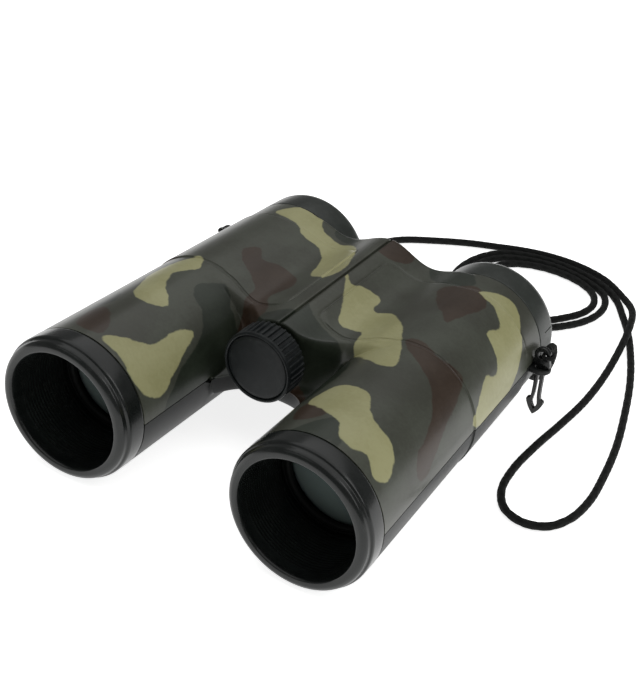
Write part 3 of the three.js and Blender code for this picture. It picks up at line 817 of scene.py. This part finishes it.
def ribRingTree():
    # sets the seed round a circle about the Y axis
    tree, ids = newTree("ribRing", {
        "Seed": ("NodeSocketObject", None), "Count": ("NodeSocketInt", 36),
        "Radius": ("NodeSocketFloat", 0.01), "Start": ("NodeSocketVector", (0, 0, 0)),
        "Material": ("NodeSocketMaterial", None),
    })
    source = tree.nodes.new("NodeGroupInput").outputs
    points = treeNode(tree, "GeometryNodeMeshLine", None, {"Count": source["Count"], "Offset": (0, 0, 0)})
    index = tree.nodes.new("GeometryNodeInputIndex").outputs[0]
    share = treeMath(tree, "DIVIDE", index, source["Count"])
    angle = treeMath(tree, "MULTIPLY", share, 2 * math.pi)
    across = treeMath(tree, "MULTIPLY", treeMath(tree, "SINE", angle), source["Radius"])
    up = treeMath(tree, "MULTIPLY", treeMath(tree, "COSINE", angle), source["Radius"])
    place = treeNode(tree, "ShaderNodeCombineXYZ", None, {"X": across, "Z": up}).outputs[0]
    total = treeNode(tree, "ShaderNodeVectorMath", dict(operation="ADD"),
                     {0: place, 1: source["Start"]}).outputs[0]
    moved = treeNode(tree, "GeometryNodeSetPosition", None,
                     {"Geometry": points.outputs[0], "Position": total})
    spin = treeNode(tree, "ShaderNodeCombineXYZ", None, {"Y": angle}).outputs[0]
    seed = treeNode(tree, "GeometryNodeObjectInfo", None, {"Object": source["Seed"]})
    copies = treeNode(tree, "GeometryNodeInstanceOnPoints", None,
                      {"Points": moved.outputs[0], "Instance": seed.outputs["Geometry"], "Rotation": spin})
    real = treeNode(tree, "GeometryNodeRealizeInstances", None, {"Geometry": copies.outputs[0]})
    done = treeNode(tree, "GeometryNodeSetMaterial", None,
                    {"Geometry": real.outputs[0], "Material": source["Material"]})
    out = tree.nodes.new("NodeGroupOutput")
    tree.links.new(done.outputs[0], out.inputs[0])
    return tree, ids


def runTree(name, tree, ids, values):
    # a new object holding what the tree makes
    obj = bpy.data.objects.new(name, bpy.data.meshes.new(name))
    bpy.context.scene.collection.objects.link(obj)
    modifier = obj.modifiers.new("nodes", "NODES")
    modifier.node_group = tree
    for key, value in values.items():
        modifier[ids[key]] = value
    baked(obj)
    return obj


# ---- shader maths ----
class Wire:
    # wraps a shader socket, so that an expression on wires adds its nodes
    def __init__(self, tree, socket=None):
        self.tree = tree
        self.socket = socket

    def node(self, kind, settings=None, inputs=None, output=0):
        made = self.tree.nodes.new(kind)
        for key, value in (settings or {}).items():
            setattr(made, key, value)
        for key, value in (inputs or {}).items():
            if isinstance(value, Wire):
                self.tree.links.new(value.socket, made.inputs[key])
            else:
                made.inputs[key].default_value = value
        return Wire(self.tree, made.outputs[output])

    def maths(self, operation, a, b=0.0, c=0.0):
        return self.node("ShaderNodeMath", dict(operation=operation), {0: a, 1: b, 2: c})

    def __add__(self, other):
        return self.maths("ADD", self, other)

    __radd__ = __add__

    def __sub__(self, other):
        return self.maths("SUBTRACT", self, other)

    def __rsub__(self, other):
        return self.maths("SUBTRACT", other, self)

    def __mul__(self, other):
        return self.maths("MULTIPLY", self, other)

    __rmul__ = __mul__

    def clipped(self):
        return self.maths("MINIMUM", self.maths("MAXIMUM", self, 0.0), 1.0)

    def eased(self, low, high):
        # 0 below low, 1 above high, soft between
        ranged = dict(interpolation_type="SMOOTHSTEP")
        return self.node("ShaderNodeMapRange", ranged, {"Value": self, "From Min": low, "From Max": high})

    def sine(self):
        return self.maths("SINE", self)


def paint(red, green, blue):
    # a colour from its 0 to 255 display values
    def linear(value):
        share = value / 255
        return share / 12.92 if share <= 0.04045 else ((share + 0.055) / 1.055) ** 2.4
    return linear(red), linear(green), linear(blue)


def startMaterial(name):
    material = bpy.data.materials.new(name)
    material.use_nodes = True
    tree = material.node_tree
    tree.nodes.clear()
    shader = tree.nodes.new("ShaderNodeBsdfPrincipled")
    out = tree.nodes.new("ShaderNodeOutputMaterial")
    tree.links.new(shader.outputs[0], out.inputs[0])
    wire = Wire(tree)
    place = wire.node("ShaderNodeTexCoord", output=3)
    return material, wire, shader, place


def feed(shader, wires):
    for key, value in wires.items():
        if isinstance(value, Wire):
            value.tree.links.new(value.socket, shader.inputs[key])
        else:
            shader.inputs[key].default_value = value


def noise(wire, place, scale, detail=3.0, roughness=0.55):
    return wire.node("ShaderNodeTexNoise", None,
                     {"Vector": place, "Scale": scale, "Detail": detail, "Roughness": roughness})


def mixed(wire, share, a, b):
    colours = [c if isinstance(c, Wire) else (*c, 1) for c in (a, b)]
    return wire.node("ShaderNodeMix", dict(data_type="RGBA"), {0: share, 6: colours[0], 7: colours[1]}, 2)


def attribute(wire, name):
    return wire.node("ShaderNodeAttribute", dict(attribute_name=name), output=2)


def raised(wire, height, strength, distance):
    return wire.node("ShaderNodeBump", None, {"Height": height, "Strength": strength, "Distance": distance})


def dust(wire, place, scale=900.0, amount=0.02):
    # small pale specks
    cells = wire.node("ShaderNodeTexVoronoi", dict(feature="F1"), {"Vector": place, "Scale": scale}, 0)
    patchy = noise(wire, place, 60.0, 2.0).eased(0.5, 0.75)
    return (1 - cells.eased(0.05, 0.11)) * patchy * amount


def plasticMaterial(name, look):
    # moulded plastic: fine grain, faint flow marks, specks, and edges rubbed pale
    material, wire, shader, place = startMaterial(name)
    cloud = noise(wire, place, look["cloud"], 4.0)
    grain = noise(wire, place, look["grain"], 2.0)
    stretch = wire.node("ShaderNodeMapping", None, {"Vector": place, "Scale": (1.0, 0.08, 1.0)})
    scratches = noise(wire, stretch, 2600.0, 2.0).eased(0.66, 0.78) * look.get("scratch", 0.35)
    colour = mixed(wire, cloud, paint(*look["dark"]), paint(*look["light"]))
    patchy = noise(wire, place, 420.0, 4.0).eased(0.42, 0.68)
    rubbed = (attribute(wire, "rim") * patchy * look["wear"]).clipped()
    colour = mixed(wire, rubbed, colour, paint(*look["worn"]))
    colour = mixed(wire, dust(wire, place).clipped(), colour, paint(150, 150, 142))
    rough = look["rough"] + (cloud - 0.5) * look["roughSpread"] + scratches * 0.05 + rubbed * 0.12
    height = grain * look["relief"] + scratches * 0.2
    feed(shader, {
        "Base Color": colour, "Roughness": rough.clipped(),
        "Specular IOR Level": look.get("specular", 0.32),
        "Coat Weight": look.get("coat", 0.0), "Coat Roughness": 0.12,
        "Normal": raised(wire, height, 0.25, 0.00006),
    })
    return material


plastics = dict(
    blackShell=dict(dark=(15, 17, 17), light=(24, 26, 25), worn=(62, 64, 62), wear=0.3, rough=0.42,
                    roughSpread=0.12, cloud=70.0, grain=2400.0, relief=0.6, specular=0.2),
    blackRing=dict(dark=(15, 18, 17), light=(22, 25, 24), worn=(60, 63, 61), wear=0.16, rough=0.24,
                   roughSpread=0.08, cloud=90.0, grain=1500.0, relief=0.2, coat=0.1, specular=0.3),
    rearBlack=dict(dark=(32, 36, 33), light=(44, 48, 44), worn=(80, 84, 80), wear=0.25, rough=0.32,
                   roughSpread=0.1, cloud=80.0, grain=1500.0, relief=0.3),
    inner=dict(dark=(6, 7, 7), light=(10, 12, 11), worn=(22, 24, 23), wear=0.2, rough=0.6,
               roughSpread=0.1, cloud=60.0, grain=3000.0, relief=0.3, specular=0.16, scratch=0.0),
    wheel=dict(dark=(17, 20, 21), light=(24, 28, 29), worn=(64, 68, 68), wear=0.3, rough=0.42,
               roughSpread=0.1, cloud=110.0, grain=2600.0, relief=0.5, specular=0.2),
    clip=dict(dark=(12, 13, 13), light=(20, 21, 21), worn=(90, 92, 90), wear=0.3, rough=0.14,
              roughSpread=0.08, cloud=200.0, grain=1200.0, relief=0.2, coat=0.12, specular=0.3),
)
finishes = {name: plasticMaterial(name, look) for name, look in plastics.items()}


def camouflageAndShadeMaterial():
    # a print of five paints under a satin lacquer; the patches come as distances inside their outlines. The
    # slate paint also lays painted shade on the barrels' inner sides and the bridge's front slope, where
    # shade falls between the barrels
    look = dict(
        # slate is a print colour, and also the painted shade on the barrels' inner sides and the bridge's
        # front slope
        ground=(55, 56, 48), groundLight=(67, 70, 61), slate=(29, 34, 26), slateAndShadeLight=(41, 47, 38),
        tan=(141, 139, 98), tanLight=(154, 152, 113), brown=(47, 35, 25), brownLight=(58, 46, 36),
        rubbed=(96, 96, 84), edge=0.32, fray=1.5,
    )
    material, wire, shader, place = startMaterial("camouflage")
    fray = (noise(wire, place, 330.0, 3.0) - 0.5) * look["fray"]
    mottle = noise(wire, place, 55.0, 3.0)
    speckle = noise(wire, place, 900.0, 2.0)
    shade = (mottle * 0.75 + speckle * 0.25).eased(0.34, 0.66)

    def patch(name, below, dark, light):
        inside = (attribute(wire, name) + fray).eased(-look["edge"], look["edge"])
        return mixed(wire, inside, below, mixed(wire, shade, paint(*look[dark]), paint(*look[light])))

    colour = mixed(wire, shade, paint(*look["ground"]), paint(*look["groundLight"]))
    # the slate layer: slate print, and painted shade where shade falls between the barrels
    colour = patch("slatePatch", colour, "slate", "slateAndShadeLight")
    colour = patch("brownPatch", colour, "brown", "brownLight")
    colour = patch("tanPatch", colour, "tan", "tanLight")
    patchy = noise(wire, place, 500.0, 4.0).eased(0.5, 0.7)
    rubbed = (attribute(wire, "rim") * patchy * 0.3).clipped()
    colour = mixed(wire, rubbed, colour, paint(*look["rubbed"]))
    colour = mixed(wire, dust(wire, place).clipped(), colour, paint(170, 168, 158))
    dimple = noise(wire, place, 620.0, 2.0)
    rough = 0.31 + (mottle - 0.5) * 0.14 + speckle * 0.05 + rubbed * 0.15
    feed(shader, {
        "Base Color": colour, "Roughness": rough.clipped(), "Specular IOR Level": 0.3,
        "Coat Weight": 0.08, "Coat Roughness": 0.12,
        "Normal": raised(wire, dimple * 0.7 + speckle * 0.3, 0.16, 0.00006),
    })
    return material


def lensMaterial():
    # clear moulded lens with a faint cool bloom
    material, wire, shader, place = startMaterial("lens")
    bloom = noise(wire, place, 45.0, 3.0)
    feed(shader, {
        "Base Color": mixed(wire, bloom, paint(118, 132, 130), paint(130, 144, 140)),
        "Roughness": (0.06 + bloom * 0.06).clipped(), "Transmission Weight": 0.35, "IOR": 1.5,
        "Coat Weight": 0.5, "Coat Roughness": 0.03,
        "Normal": raised(wire, noise(wire, place, 30.0, 1.0), 0.04, 0.00005),
    })
    return material


def steelMaterial():
    material, wire, shader, place = startMaterial("steel")
    cloud = noise(wire, place, 300.0, 3.0)
    feed(shader, {
        "Base Color": mixed(wire, cloud, paint(150, 150, 146), paint(196, 196, 192)),
        "Metallic": 1.0, "Roughness": (0.26 + cloud * 0.2).clipped(),
        "Normal": raised(wire, noise(wire, place, 3000.0, 2.0), 0.2, 0.00004),
    })
    return material


def cordMaterial():
    # a tight braid: strands cross both ways round the cord, with loose fibres between
    material, wire, shader, place = startMaterial("cord")
    along = attribute(wire, "along")
    around = attribute(wire, "roundShare")
    rounds = neckCord["strands"] / 2 * 2 * math.pi
    pace = 2 * math.pi / neckCord["pitch"]
    first = (around * rounds + along * pace).sine()
    second = (around * rounds - along * pace).sine()
    weave = wire.maths("MAXIMUM", first, second) * 0.5 + 0.5
    fibre = noise(wire, place, 5200.0, 3.0)
    lightness = (weave * 0.6 + fibre * 0.5).clipped()
    feed(shader, {
        "Base Color": mixed(wire, lightness, paint(5, 6, 6), paint(26, 27, 26)),
        "Roughness": (0.78 + fibre * 0.18).clipped(), "Specular IOR Level": 0.15,
        "Sheen Weight": 0.04, "Sheen Roughness": 0.5,
        "Normal": raised(wire, weave * 0.7 + fibre * 0.3, 0.8, 0.00012),
    })
    return material


finishes.update(camouflage=camouflageAndShadeMaterial(), lens=lensMaterial(), steel=steelMaterial(),
                cord=cordMaterial())
print("finishes mixed")


def finish(obj, material):
    obj.data.materials.clear()
    obj.data.materials.append(finishes[material])
    return obj


def setRims(obj, values):
    obj.data.attributes.new("rim", "FLOAT", "POINT").data.foreach_set("value", values)


# ---- wheel, screws and clips ----
seed = makeRibSeed()
ribTree, ribIds = ribRingTree()
drum = makeDrum()
ribs = runTree("ribs", ribTree, ribIds, {
    "Seed": seed, "Count": focusWheel["ribs"], "Radius": focusWheel["rootRadius"] * 0.001,
    "Start": tuple(toRow((0, wheelCentre["front"] + focusWheel["bead"] - 0.1, wheelCentre["height"]))[0]),
    "Material": finishes["wheel"],
})
discard(seed)
finish(drum, "wheel")
ribs.data.materials.clear()
setRims(ribs, [0.6] * len(ribs.data.vertices))
joinInto(drum, ribs)
keepEdges(drum, 40)
faceFront = wheelCentre["front"] + 0.05
faceRadius = focusWheel["face"]
faceDisc = [(0, faceFront), (faceRadius - 1.2, faceFront + 0.12), (faceRadius - 0.3, faceFront + 0.3),
            (faceRadius, faceFront + 0.6), (faceRadius, faceFront + 1.15), (0, faceFront + 1.15)]
wheelFace = turned("wheelFace", faceDisc, centre=0, height=wheelCentre["height"], radius=0.3,
                   segments=144, closed=False)
print("wheel ribbed,", len(drum.data.polygons), "faces")


def makeScrewSeed():
    # a pan head with a cross recess, head down, its top at the origin
    outline = [(0, -1.4), (1.7, -1.4), (2.4, -0.9), (2.6, -0.35), (2.6, 0), (1.1, 0), (1.1, 11),
               (0.3, 13.4), (0, 13.6)]
    shank = turned("screwSeed", outline, centre=0, radius=0.15, segments=40, closed=False)
    shank.data.transform(Matrix.Translation(-toGround * 0.001))
    shank.data.transform(Matrix.Rotation(math.radians(90), 4, "X"))
    for width, length in ((0.55, 2.6), (2.6, 0.55)):
        bar = boxTool(-width / 2, width / 2, -length / 2, length / 2, -2, -0.75)
        bar.data.transform(Matrix.Translation(-toGround * 0.001))
        cut(shank, bar)
    keepEdges(shank, 40)
    return shank


def screwTree():
    # sets the seed at the corners of a rectangle
    tree, ids = newTree("screwSet", {
        "Seed": ("NodeSocketObject", None), "Width": ("NodeSocketFloat", 0.02),
        "Length": ("NodeSocketFloat", 0.03), "Middle": ("NodeSocketVector", (0, 0, 0)),
        "Turn": ("NodeSocketInt", 4), "Material": ("NodeSocketMaterial", None),
    })
    source = tree.nodes.new("NodeGroupInput").outputs
    corners = treeNode(tree, "GeometryNodeMeshGrid", None, {
        "Size X": source["Width"], "Size Y": source["Length"], "Vertices X": 2, "Vertices Y": 2})
    placed = treeNode(tree, "GeometryNodeSetPosition", None,
                      {"Geometry": corners.outputs[0], "Offset": source["Middle"]})
    turn = treeNode(tree, "FunctionNodeRandomValue", dict(data_type="FLOAT"),
                    {"Min": 0.0, "Max": math.pi / 2, "Seed": source["Turn"]}).outputs["Value"]
    spin = treeNode(tree, "ShaderNodeCombineXYZ", None, {"Z": turn}).outputs[0]
    seedNode = treeNode(tree, "GeometryNodeObjectInfo", None, {"Object": source["Seed"]})
    copies = treeNode(tree, "GeometryNodeInstanceOnPoints", None, {
        "Points": placed.outputs[0], "Instance": seedNode.outputs["Geometry"], "Rotation": spin})
    real = treeNode(tree, "GeometryNodeRealizeInstances", None, {"Geometry": copies.outputs[0]})
    done = treeNode(tree, "GeometryNodeSetMaterial", None,
                    {"Geometry": real.outputs[0], "Material": source["Material"]})
    out = tree.nodes.new("NodeGroupOutput")
    tree.links.new(done.outputs[0], out.inputs[0])
    return tree, ids


seed = makeScrewSeed()
screwNodes, screwIds = screwTree()
spreadX, nearY, farY = screws["spread"]
headUp = shape["webBottom"] + 1.6
bodyScrews = runTree("bodyScrews", screwNodes, screwIds, {
    "Seed": seed, "Width": 2 * spreadX * 0.001, "Length": (farY - nearY) * 0.001, "Turn": 4,
    "Middle": tuple(toRow((0, (nearY + farY) / 2, headUp))[0]), "Material": finishes["steel"],
})
discard(seed)
print("screws set")

clipShape = dict(thickness=1.7, bevel=0.28, eyeHeight=4.7, archRadius=2.7, eyeRadius=1.3)


def makeClip(name, side):
    # a flat moulding: an eye on a shoulder, and two barbed prongs with a slit between
    half = [(0, -17.2), (0.9, -16.3), (1.9, -14.9), (2.65, -13.3), (2.9, -12.3), (2.7, -11.7),
            (1.75, -11.3), (1.5, -10), (1.45, -7), (1.5, 0.8), (2.9, 0.85), (2.9, 2.1), (2.55, 3.0)]
    archRadius, eyeRadius, middleZ = (clipShape[k] for k in ("archRadius", "eyeRadius", "eyeHeight"))
    arch = [(archRadius * math.cos(a), middleZ + archRadius * math.sin(a))
            for a in np.linspace(-0.25, math.pi + 0.25, 30)]
    outline = half + arch + [(-x, z) for x, z in reversed(half[1:])]
    eye = [(eyeRadius * math.cos(a), middleZ + eyeRadius * math.sin(a))
           for a in np.linspace(0, 2 * math.pi, 28, endpoint=False)]
    slit = [(0, -15), (0.6, -14), (0.9, -12.9), (0.6, -11), (0.4, -9.4), (0.34, -1.2), (0, -0.9),
            (-0.34, -1.2), (-0.4, -9.4), (-0.6, -11), (-0.9, -12.9), (-0.6, -14)]
    curve = bpy.data.curves.new(name, "CURVE")
    curve.dimensions = "2D"
    curve.fill_mode = "BOTH"
    curve.extrude = (clipShape["thickness"] / 2 - clipShape["bevel"]) * 0.001
    curve.bevel_depth = clipShape["bevel"] * 0.001
    curve.bevel_resolution = 3
    curve.offset = -clipShape["bevel"] * 0.001
    for loop in (outline, eye, slit):
        spline = curve.splines.new("POLY")
        spline.points.add(len(loop) - 1)
        spline.use_cyclic_u = True
        for point, (x, z) in zip(spline.points, loop):
            point.co = (x * 0.001, z * 0.001, 0, 1)
    flat = bpy.data.objects.new("tool", curve)
    bpy.context.scene.collection.objects.link(flat)
    mesh = bpy.data.meshes.new_from_object(flat.evaluated_get(bpy.context.evaluated_depsgraph_get()))
    bpy.data.objects.remove(flat)
    bpy.data.curves.remove(curve)
    mesh.transform(Matrix.Rotation(math.radians(90), 4, "X"))
    middle = toRow((side * neckCord["lugX"], neckCord["lugY"], 0))[0]
    mesh.transform(Matrix.Translation(Vector(middle)))
    work = bmesh.new()
    work.from_mesh(mesh)
    bmesh.ops.remove_doubles(work, verts=work.verts, dist=2e-6)
    bmesh.ops.recalc_face_normals(work, faces=work.faces)
    work.to_mesh(mesh)
    work.free()
    mesh.polygons.foreach_set("use_smooth", [True] * len(mesh.polygons))
    obj = bpy.data.objects.new(name, mesh)
    bpy.context.scene.collection.objects.link(obj)
    setRims(obj, [0.3] * len(mesh.vertices))
    return keepEdges(obj, 45)


clips = {side: makeClip(name, side) for name, side in (("leftClip", 1), ("rightClip", -1))}
print("clips shaped")

# ---- camouflage print, with painted shade laid in slate ----
# Outlines are (round, along): round is the distance round the barrel from its top line, outwards
# positive, and past the barrel it runs on over the bridge; along is Y.
leftPatches = dict(
    tan=[
        [(-14, 25), (-10, 34), (-4, 35), (1, 34), (4, 29), (8, 25), (14, 24), (19, 21), (22, 14),
         (18, 10), (13, 13),
         (9, 11), (4, 12), (1, 17), (-6, 20)],
        [(-43, 86), (-39, 83), (-35, 85), (-28, 86), (-26, 79), (-19, 80), (-11, 74), (-6, 66),
         (-2, 58), (0, 51),
         (-4, 49), (-12, 53), (-20, 59), (-22, 66), (-31, 65), (-35, 72)],
        [(1, 104), (6, 109), (13, 110), (19, 105), (28, 96), (34, 84), (33, 71), (31, 64), (27, 66),
         (21, 76),
         (23, 82), (19, 86), (12, 89), (13, 96), (8, 101)],
        [(-30, 20), (-24, 26), (-19, 24), (-20, 16), (-25, 10), (-31, 12)],
    ],
    brown=[
        [(-4, 66), (0, 67), (7, 65), (16, 66), (20, 59), (23, 49), (27, 40), (31, 32), (28, 28),
         (23, 31), (21, 38),
         (17, 46), (11, 53), (3, 58), (-2, 62)],
        [(-46, 108), (-40, 117), (-32, 115), (-31, 109), (-38, 104)],
        [(-11, 100), (-4, 106), (1, 106), (6, 98), (3, 88), (1, 81), (-3, 86), (-8, 92)],
        [(-46, 47), (-40, 49), (-34, 44), (-26, 38), (-20, 31), (-24, 28), (-32, 33), (-40, 40)],
        [(-15, 22), (-10, 26), (-4, 21), (-6, 15), (-12, 14)],
    ],
    slate=[
        # this first slate patch is painted shade on the barrel's inner side by the bridge's front slope
        [(-50, 66), (-38, 60), (-26, 58), (-18, 54), (-14, 46), (-15, 36), (-20, 26), (-34, 22),
         (-50, 34)],
        [(-6, 12), (0, 18), (6, 8), (0, 2), (-10, 4)],
        [(-24, 118), (-10, 118), (-2, 108), (-10, 104), (-20, 108)],
    ],
)
rightPatches = dict(
    tan=[
        [(-5, 10), (-8, 15), (-14, 20), (-15, 26), (-15, 32), (-17, 37), (-19, 37), (-21, 32),
         (-25, 24), (-29, 17),
         (-27, 11), (-21, 8), (-14, 9)],
        [(3, 66), (-1, 60), (1, 56), (3, 52), (0, 45), (-5, 40), (-7, 36), (-1, 33), (5, 36),
         (7, 42), (10, 50),
         (8, 60)],
        [(4, 107), (1, 114), (-5, 117), (-10, 115), (-14, 110), (-24, 108), (-32, 107), (-40, 92),
         (-39, 82),
         (-31, 83), (-27, 93), (-21, 100), (-12, 101), (-6, 105)],
        [(20, 88), (28, 92), (34, 84), (33, 70), (26, 66), (20, 72), (23, 80)],
        [(16, 30), (22, 38), (30, 36), (36, 26), (30, 18), (22, 14), (18, 20)],
        [(24, 112), (30, 115), (36, 110), (34, 104), (27, 105)],
    ],
    brown=[
        [(8, 18), (6, 24), (0, 20), (-4, 12), (1, 10), (6, 12)],
        [(-4, 79), (-7, 84), (-12, 79), (-18, 82), (-27, 80), (-30, 74), (-27, 66), (-32, 59),
         (-34, 52), (-26, 54),
         (-21, 60), (-20, 66), (-14, 70), (-7, 74)],
        [(12, 78), (17, 90), (15, 102), (22, 104), (27, 96), (22, 88), (18, 74), (22, 60), (17, 52),
         (12, 60)],
        [(24, 50), (32, 56), (37, 48), (32, 40), (26, 42)],
    ],
    slate=[
        # the first two slate patches are painted shade on the barrel's inner side by the bridge's front
        # slope
        [(-36, 16), (-26, 26), (-20, 40), (-12, 48), (-16, 56), (-30, 54), (-46, 58), (-52, 44),
         (-44, 24)],
        [(-12, 60), (-6, 52), (-12, 46), (-22, 50)],
        [(8, 112), (16, 116), (20, 108), (12, 102)],
        [(6, 30), (14, 40), (20, 46), (14, 26), (10, 20)],
        [(30, 66), (38, 72), (38, 56), (32, 58)],
        [(-30, 116), (-20, 119), (-18, 112), (-28, 110)],
    ],
)


def roundOutline(corners, steps=8):
    # a closed smooth line through the corners
    corners = np.array(corners, float)
    t = np.linspace(0, 1, steps, endpoint=False)[:, None]
    pieces = []
    for i in range(len(corners)):
        p0, p1, p2, p3 = (corners[(i + k) % len(corners)] for k in (-1, 0, 1, 2))
        pieces.append(0.5 * (2 * p1 + (p2 - p0) * t + (2 * p0 - 5 * p1 + 4 * p2 - p3) * t**2
                             + (3 * p1 - p0 - 3 * p2 + p3) * t**3))
    return np.vstack(pieces)


def depthInside(points, outline):
    # signed distance to a closed outline: positive inside
    nearest = np.full(len(points), 1e9)
    crossings = np.zeros(len(points), bool)
    for a, b in zip(outline, np.roll(outline, -1, axis=0)):
        span = b - a
        share = np.clip(((points - a) @ span) / max(span @ span, 1e-12), 0, 1)
        nearest = np.minimum(nearest, np.linalg.norm(points - a - share[:, None] * span, axis=1))
        if a[1] != b[1]:
            between = (points[:, 1] < a[1]) != (points[:, 1] < b[1])
            crossings ^= between & (points[:, 0] < a[0] + (points[:, 1] - a[1]) / (b[1] - a[1]) * span[0])
    return np.where(crossings, nearest, -nearest)


def printCamouflageAndShade(obj):
    # the slate layer written here holds painted shade as well as print
    co = np.zeros(len(obj.data.vertices) * 3)
    obj.data.vertices.foreach_get("co", co)
    x, y, z = (co.reshape(-1, 3) * 1000 - np.array(toGround)).T
    radius = barrelRadius(y)
    out = np.abs(x) - barrelAxis(y)
    beyond = np.maximum(np.hypot(out, z) - radius, 0)
    flat = np.stack([radius * (math.pi / 2 - np.arctan2(z, out)) - beyond, y], axis=1)
    for paintName in ("tan", "brown", "slate"):
        depth = np.full(len(flat), -9.0)
        for chosen, patches in ((x >= 0, leftPatches), (x < 0, rightPatches)):
            for corners in patches[paintName]:
                found = depthInside(flat[chosen], roundOutline(corners))
                depth[chosen] = np.maximum(depth[chosen], found)
        layer = obj.data.attributes.new(paintName + "Patch", "FLOAT", "POINT")
        layer.data.foreach_set("value", depth.astype(np.float32))


def markRims(obj, low=18.0, high=50.0):
    # 1 on a vertex whose faces meet at a sharp outer angle, for rubbed edges
    work = bmesh.new()
    work.from_mesh(obj.data)
    values = []
    for v in work.verts:
        shared = [e for e in v.link_edges if len(e.link_faces) == 2]
        angles = [math.degrees(e.calc_face_angle_signed(0.0)) for e in shared]
        values.append(min(max((max(angles, default=0) - low) / (high - low), 0), 1))
    work.free()
    if "rim" in obj.data.attributes:
        obj.data.attributes.remove(obj.data.attributes["rim"])
    setRims(obj, values)


printCamouflageAndShade(topShell)
markRims(topShell)
markRims(bottomShell)
print("camouflage printed")

# ---- every piece gets its finish and its body ----
finish(topShell, "camouflage")
finish(bottomShell, "blackShell")
finish(bodyScrews, "steel")
finish(drum, "wheel")
finish(wheelFace, "wheel")
placements = [
    (topShell, "camouflage_shell", "body", ["top_shell"]),
    (bottomShell, "black_shell", "body", ["bottom_shell"]),
    (bodyScrews, "steel", "body", ["body_screw_1", "body_screw_2", "body_screw_3", "body_screw_4"]),
    (drum, "wheel", "focus", ["focus_wheel"]),
    (wheelFace, "wheel", "focus", ["wheel_cap"]),
    (cordPiece, "cord", "body", ["neck_cord"]),
]
# finish, slot, body and node of each turned piece
turnedPlaces = dict(
    ring=("blackRing", "black_ring", "body", "objective_ring"),
    cap=("rearBlack", "black_ring", "body", "rear_cap"),
    eyeCell=("inner", "black_inner", "body", "eyepiece_cell"),
    eyeRetainer=("inner", "black_inner", "body", "eyepiece_retainer"),
    retainer=("inner", "black_inner", "carriage", "objective_retainer"),
    lens=("lens", "lens", "carriage", "objective_lens"),
    eyeLens=("lens", "lens", "body", "eyepiece_lens"),
)
for label, side in (("left", 1), ("right", -1)):
    for key, obj in turnedPieces[label].items():
        material, slotName, body, node = turnedPlaces[key]
        finish(obj, material)
        placements.append((obj, slotName, body, [label + "_" + node]))
    finish(clips[side], "clip")
    finish(knots[side], "cord")
    placements.append((clips[side], "clip", label + "_clip", [label + "_cord_clip"]))
    placements.append((knots[side], "cord", label + "_clip", [label + "_cord_knot"]))
finish(cordPiece, "cord")
for obj, slotName, body, nodes in placements:
    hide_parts(*nodes)
    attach(obj, body)
keptNodes = dict(lens_carriage="inner", spindle_collar="inner", focus_spindle="steel", wheel_screw="steel")
for node, material in keptNodes.items():
    finish(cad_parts[node], material)

print("pieces placed on their bodies")


# ---- floor and light ----
def floorMaterial():
    material, wire, shader, place = startMaterial("paper")
    grain = noise(wire, place, 14.0, 3.0)
    feed(shader, {"Base Color": mixed(wire, grain, paint(246, 247, 246), paint(252, 252, 251)),
                  "Roughness": (0.75 + grain * 0.1).clipped(), "Specular IOR Level": 0.05,
                  "Emission Color": (1, 1, 1, 1), "Emission Strength": 0.82})
    return material


def makeFloor(size=6.0, height=-0.0004):
    mesh = bpy.data.meshes.new("floor")
    reach = size / 2
    mesh.from_pydata([(-reach, -reach, height), (reach, -reach, height), (reach, reach, height),
                      (-reach, reach, height)], [], [(0, 1, 2, 3)])
    floor = bpy.data.objects.new("floor", mesh)
    bpy.context.scene.collection.objects.link(floor)
    mesh.materials.append(floorMaterial())


lights = dict(
    overhead=dict(place=(0.05, 0.25, 1.3), aim=(0, 0, 0), size=(2.4, 2.0), power=14.0),
    rightSide=dict(place=(1.1, 0.05, 0.85), aim=(0, 0, 0.02), size=(0.35, 0.9), power=3.0),
    front=dict(place=(-0.7, -1.2, 1.2), aim=(0, 0, 0), size=(0.9, 0.6), power=1.0),
)


def makeLight(name, spec):
    data = bpy.data.lights.new(name, "AREA")
    data.shape = "RECTANGLE"
    data.size, data.size_y = spec["size"]
    data.energy = spec["power"]
    lamp = bpy.data.objects.new(name, data)
    place, aim = Vector(spec["place"]), Vector(spec["aim"])
    facing = (aim - place).to_track_quat("-Z", "Y").to_matrix().to_4x4()
    lamp.matrix_world = Matrix.Translation(place) @ facing
    bpy.context.scene.collection.objects.link(lamp)


makeFloor()
for name, spec in lights.items():
    makeLight(name, spec)
world = bpy.data.worlds.new("studio")
world.use_nodes = True
world.node_tree.nodes["Background"].inputs[0].default_value = (1.0, 1.0, 0.99, 1)
world.node_tree.nodes["Background"].inputs[1].default_value = 0.22
bpy.context.scene.world = world
bpy.context.scene.view_settings.view_transform = "Standard"
print("studio lit")
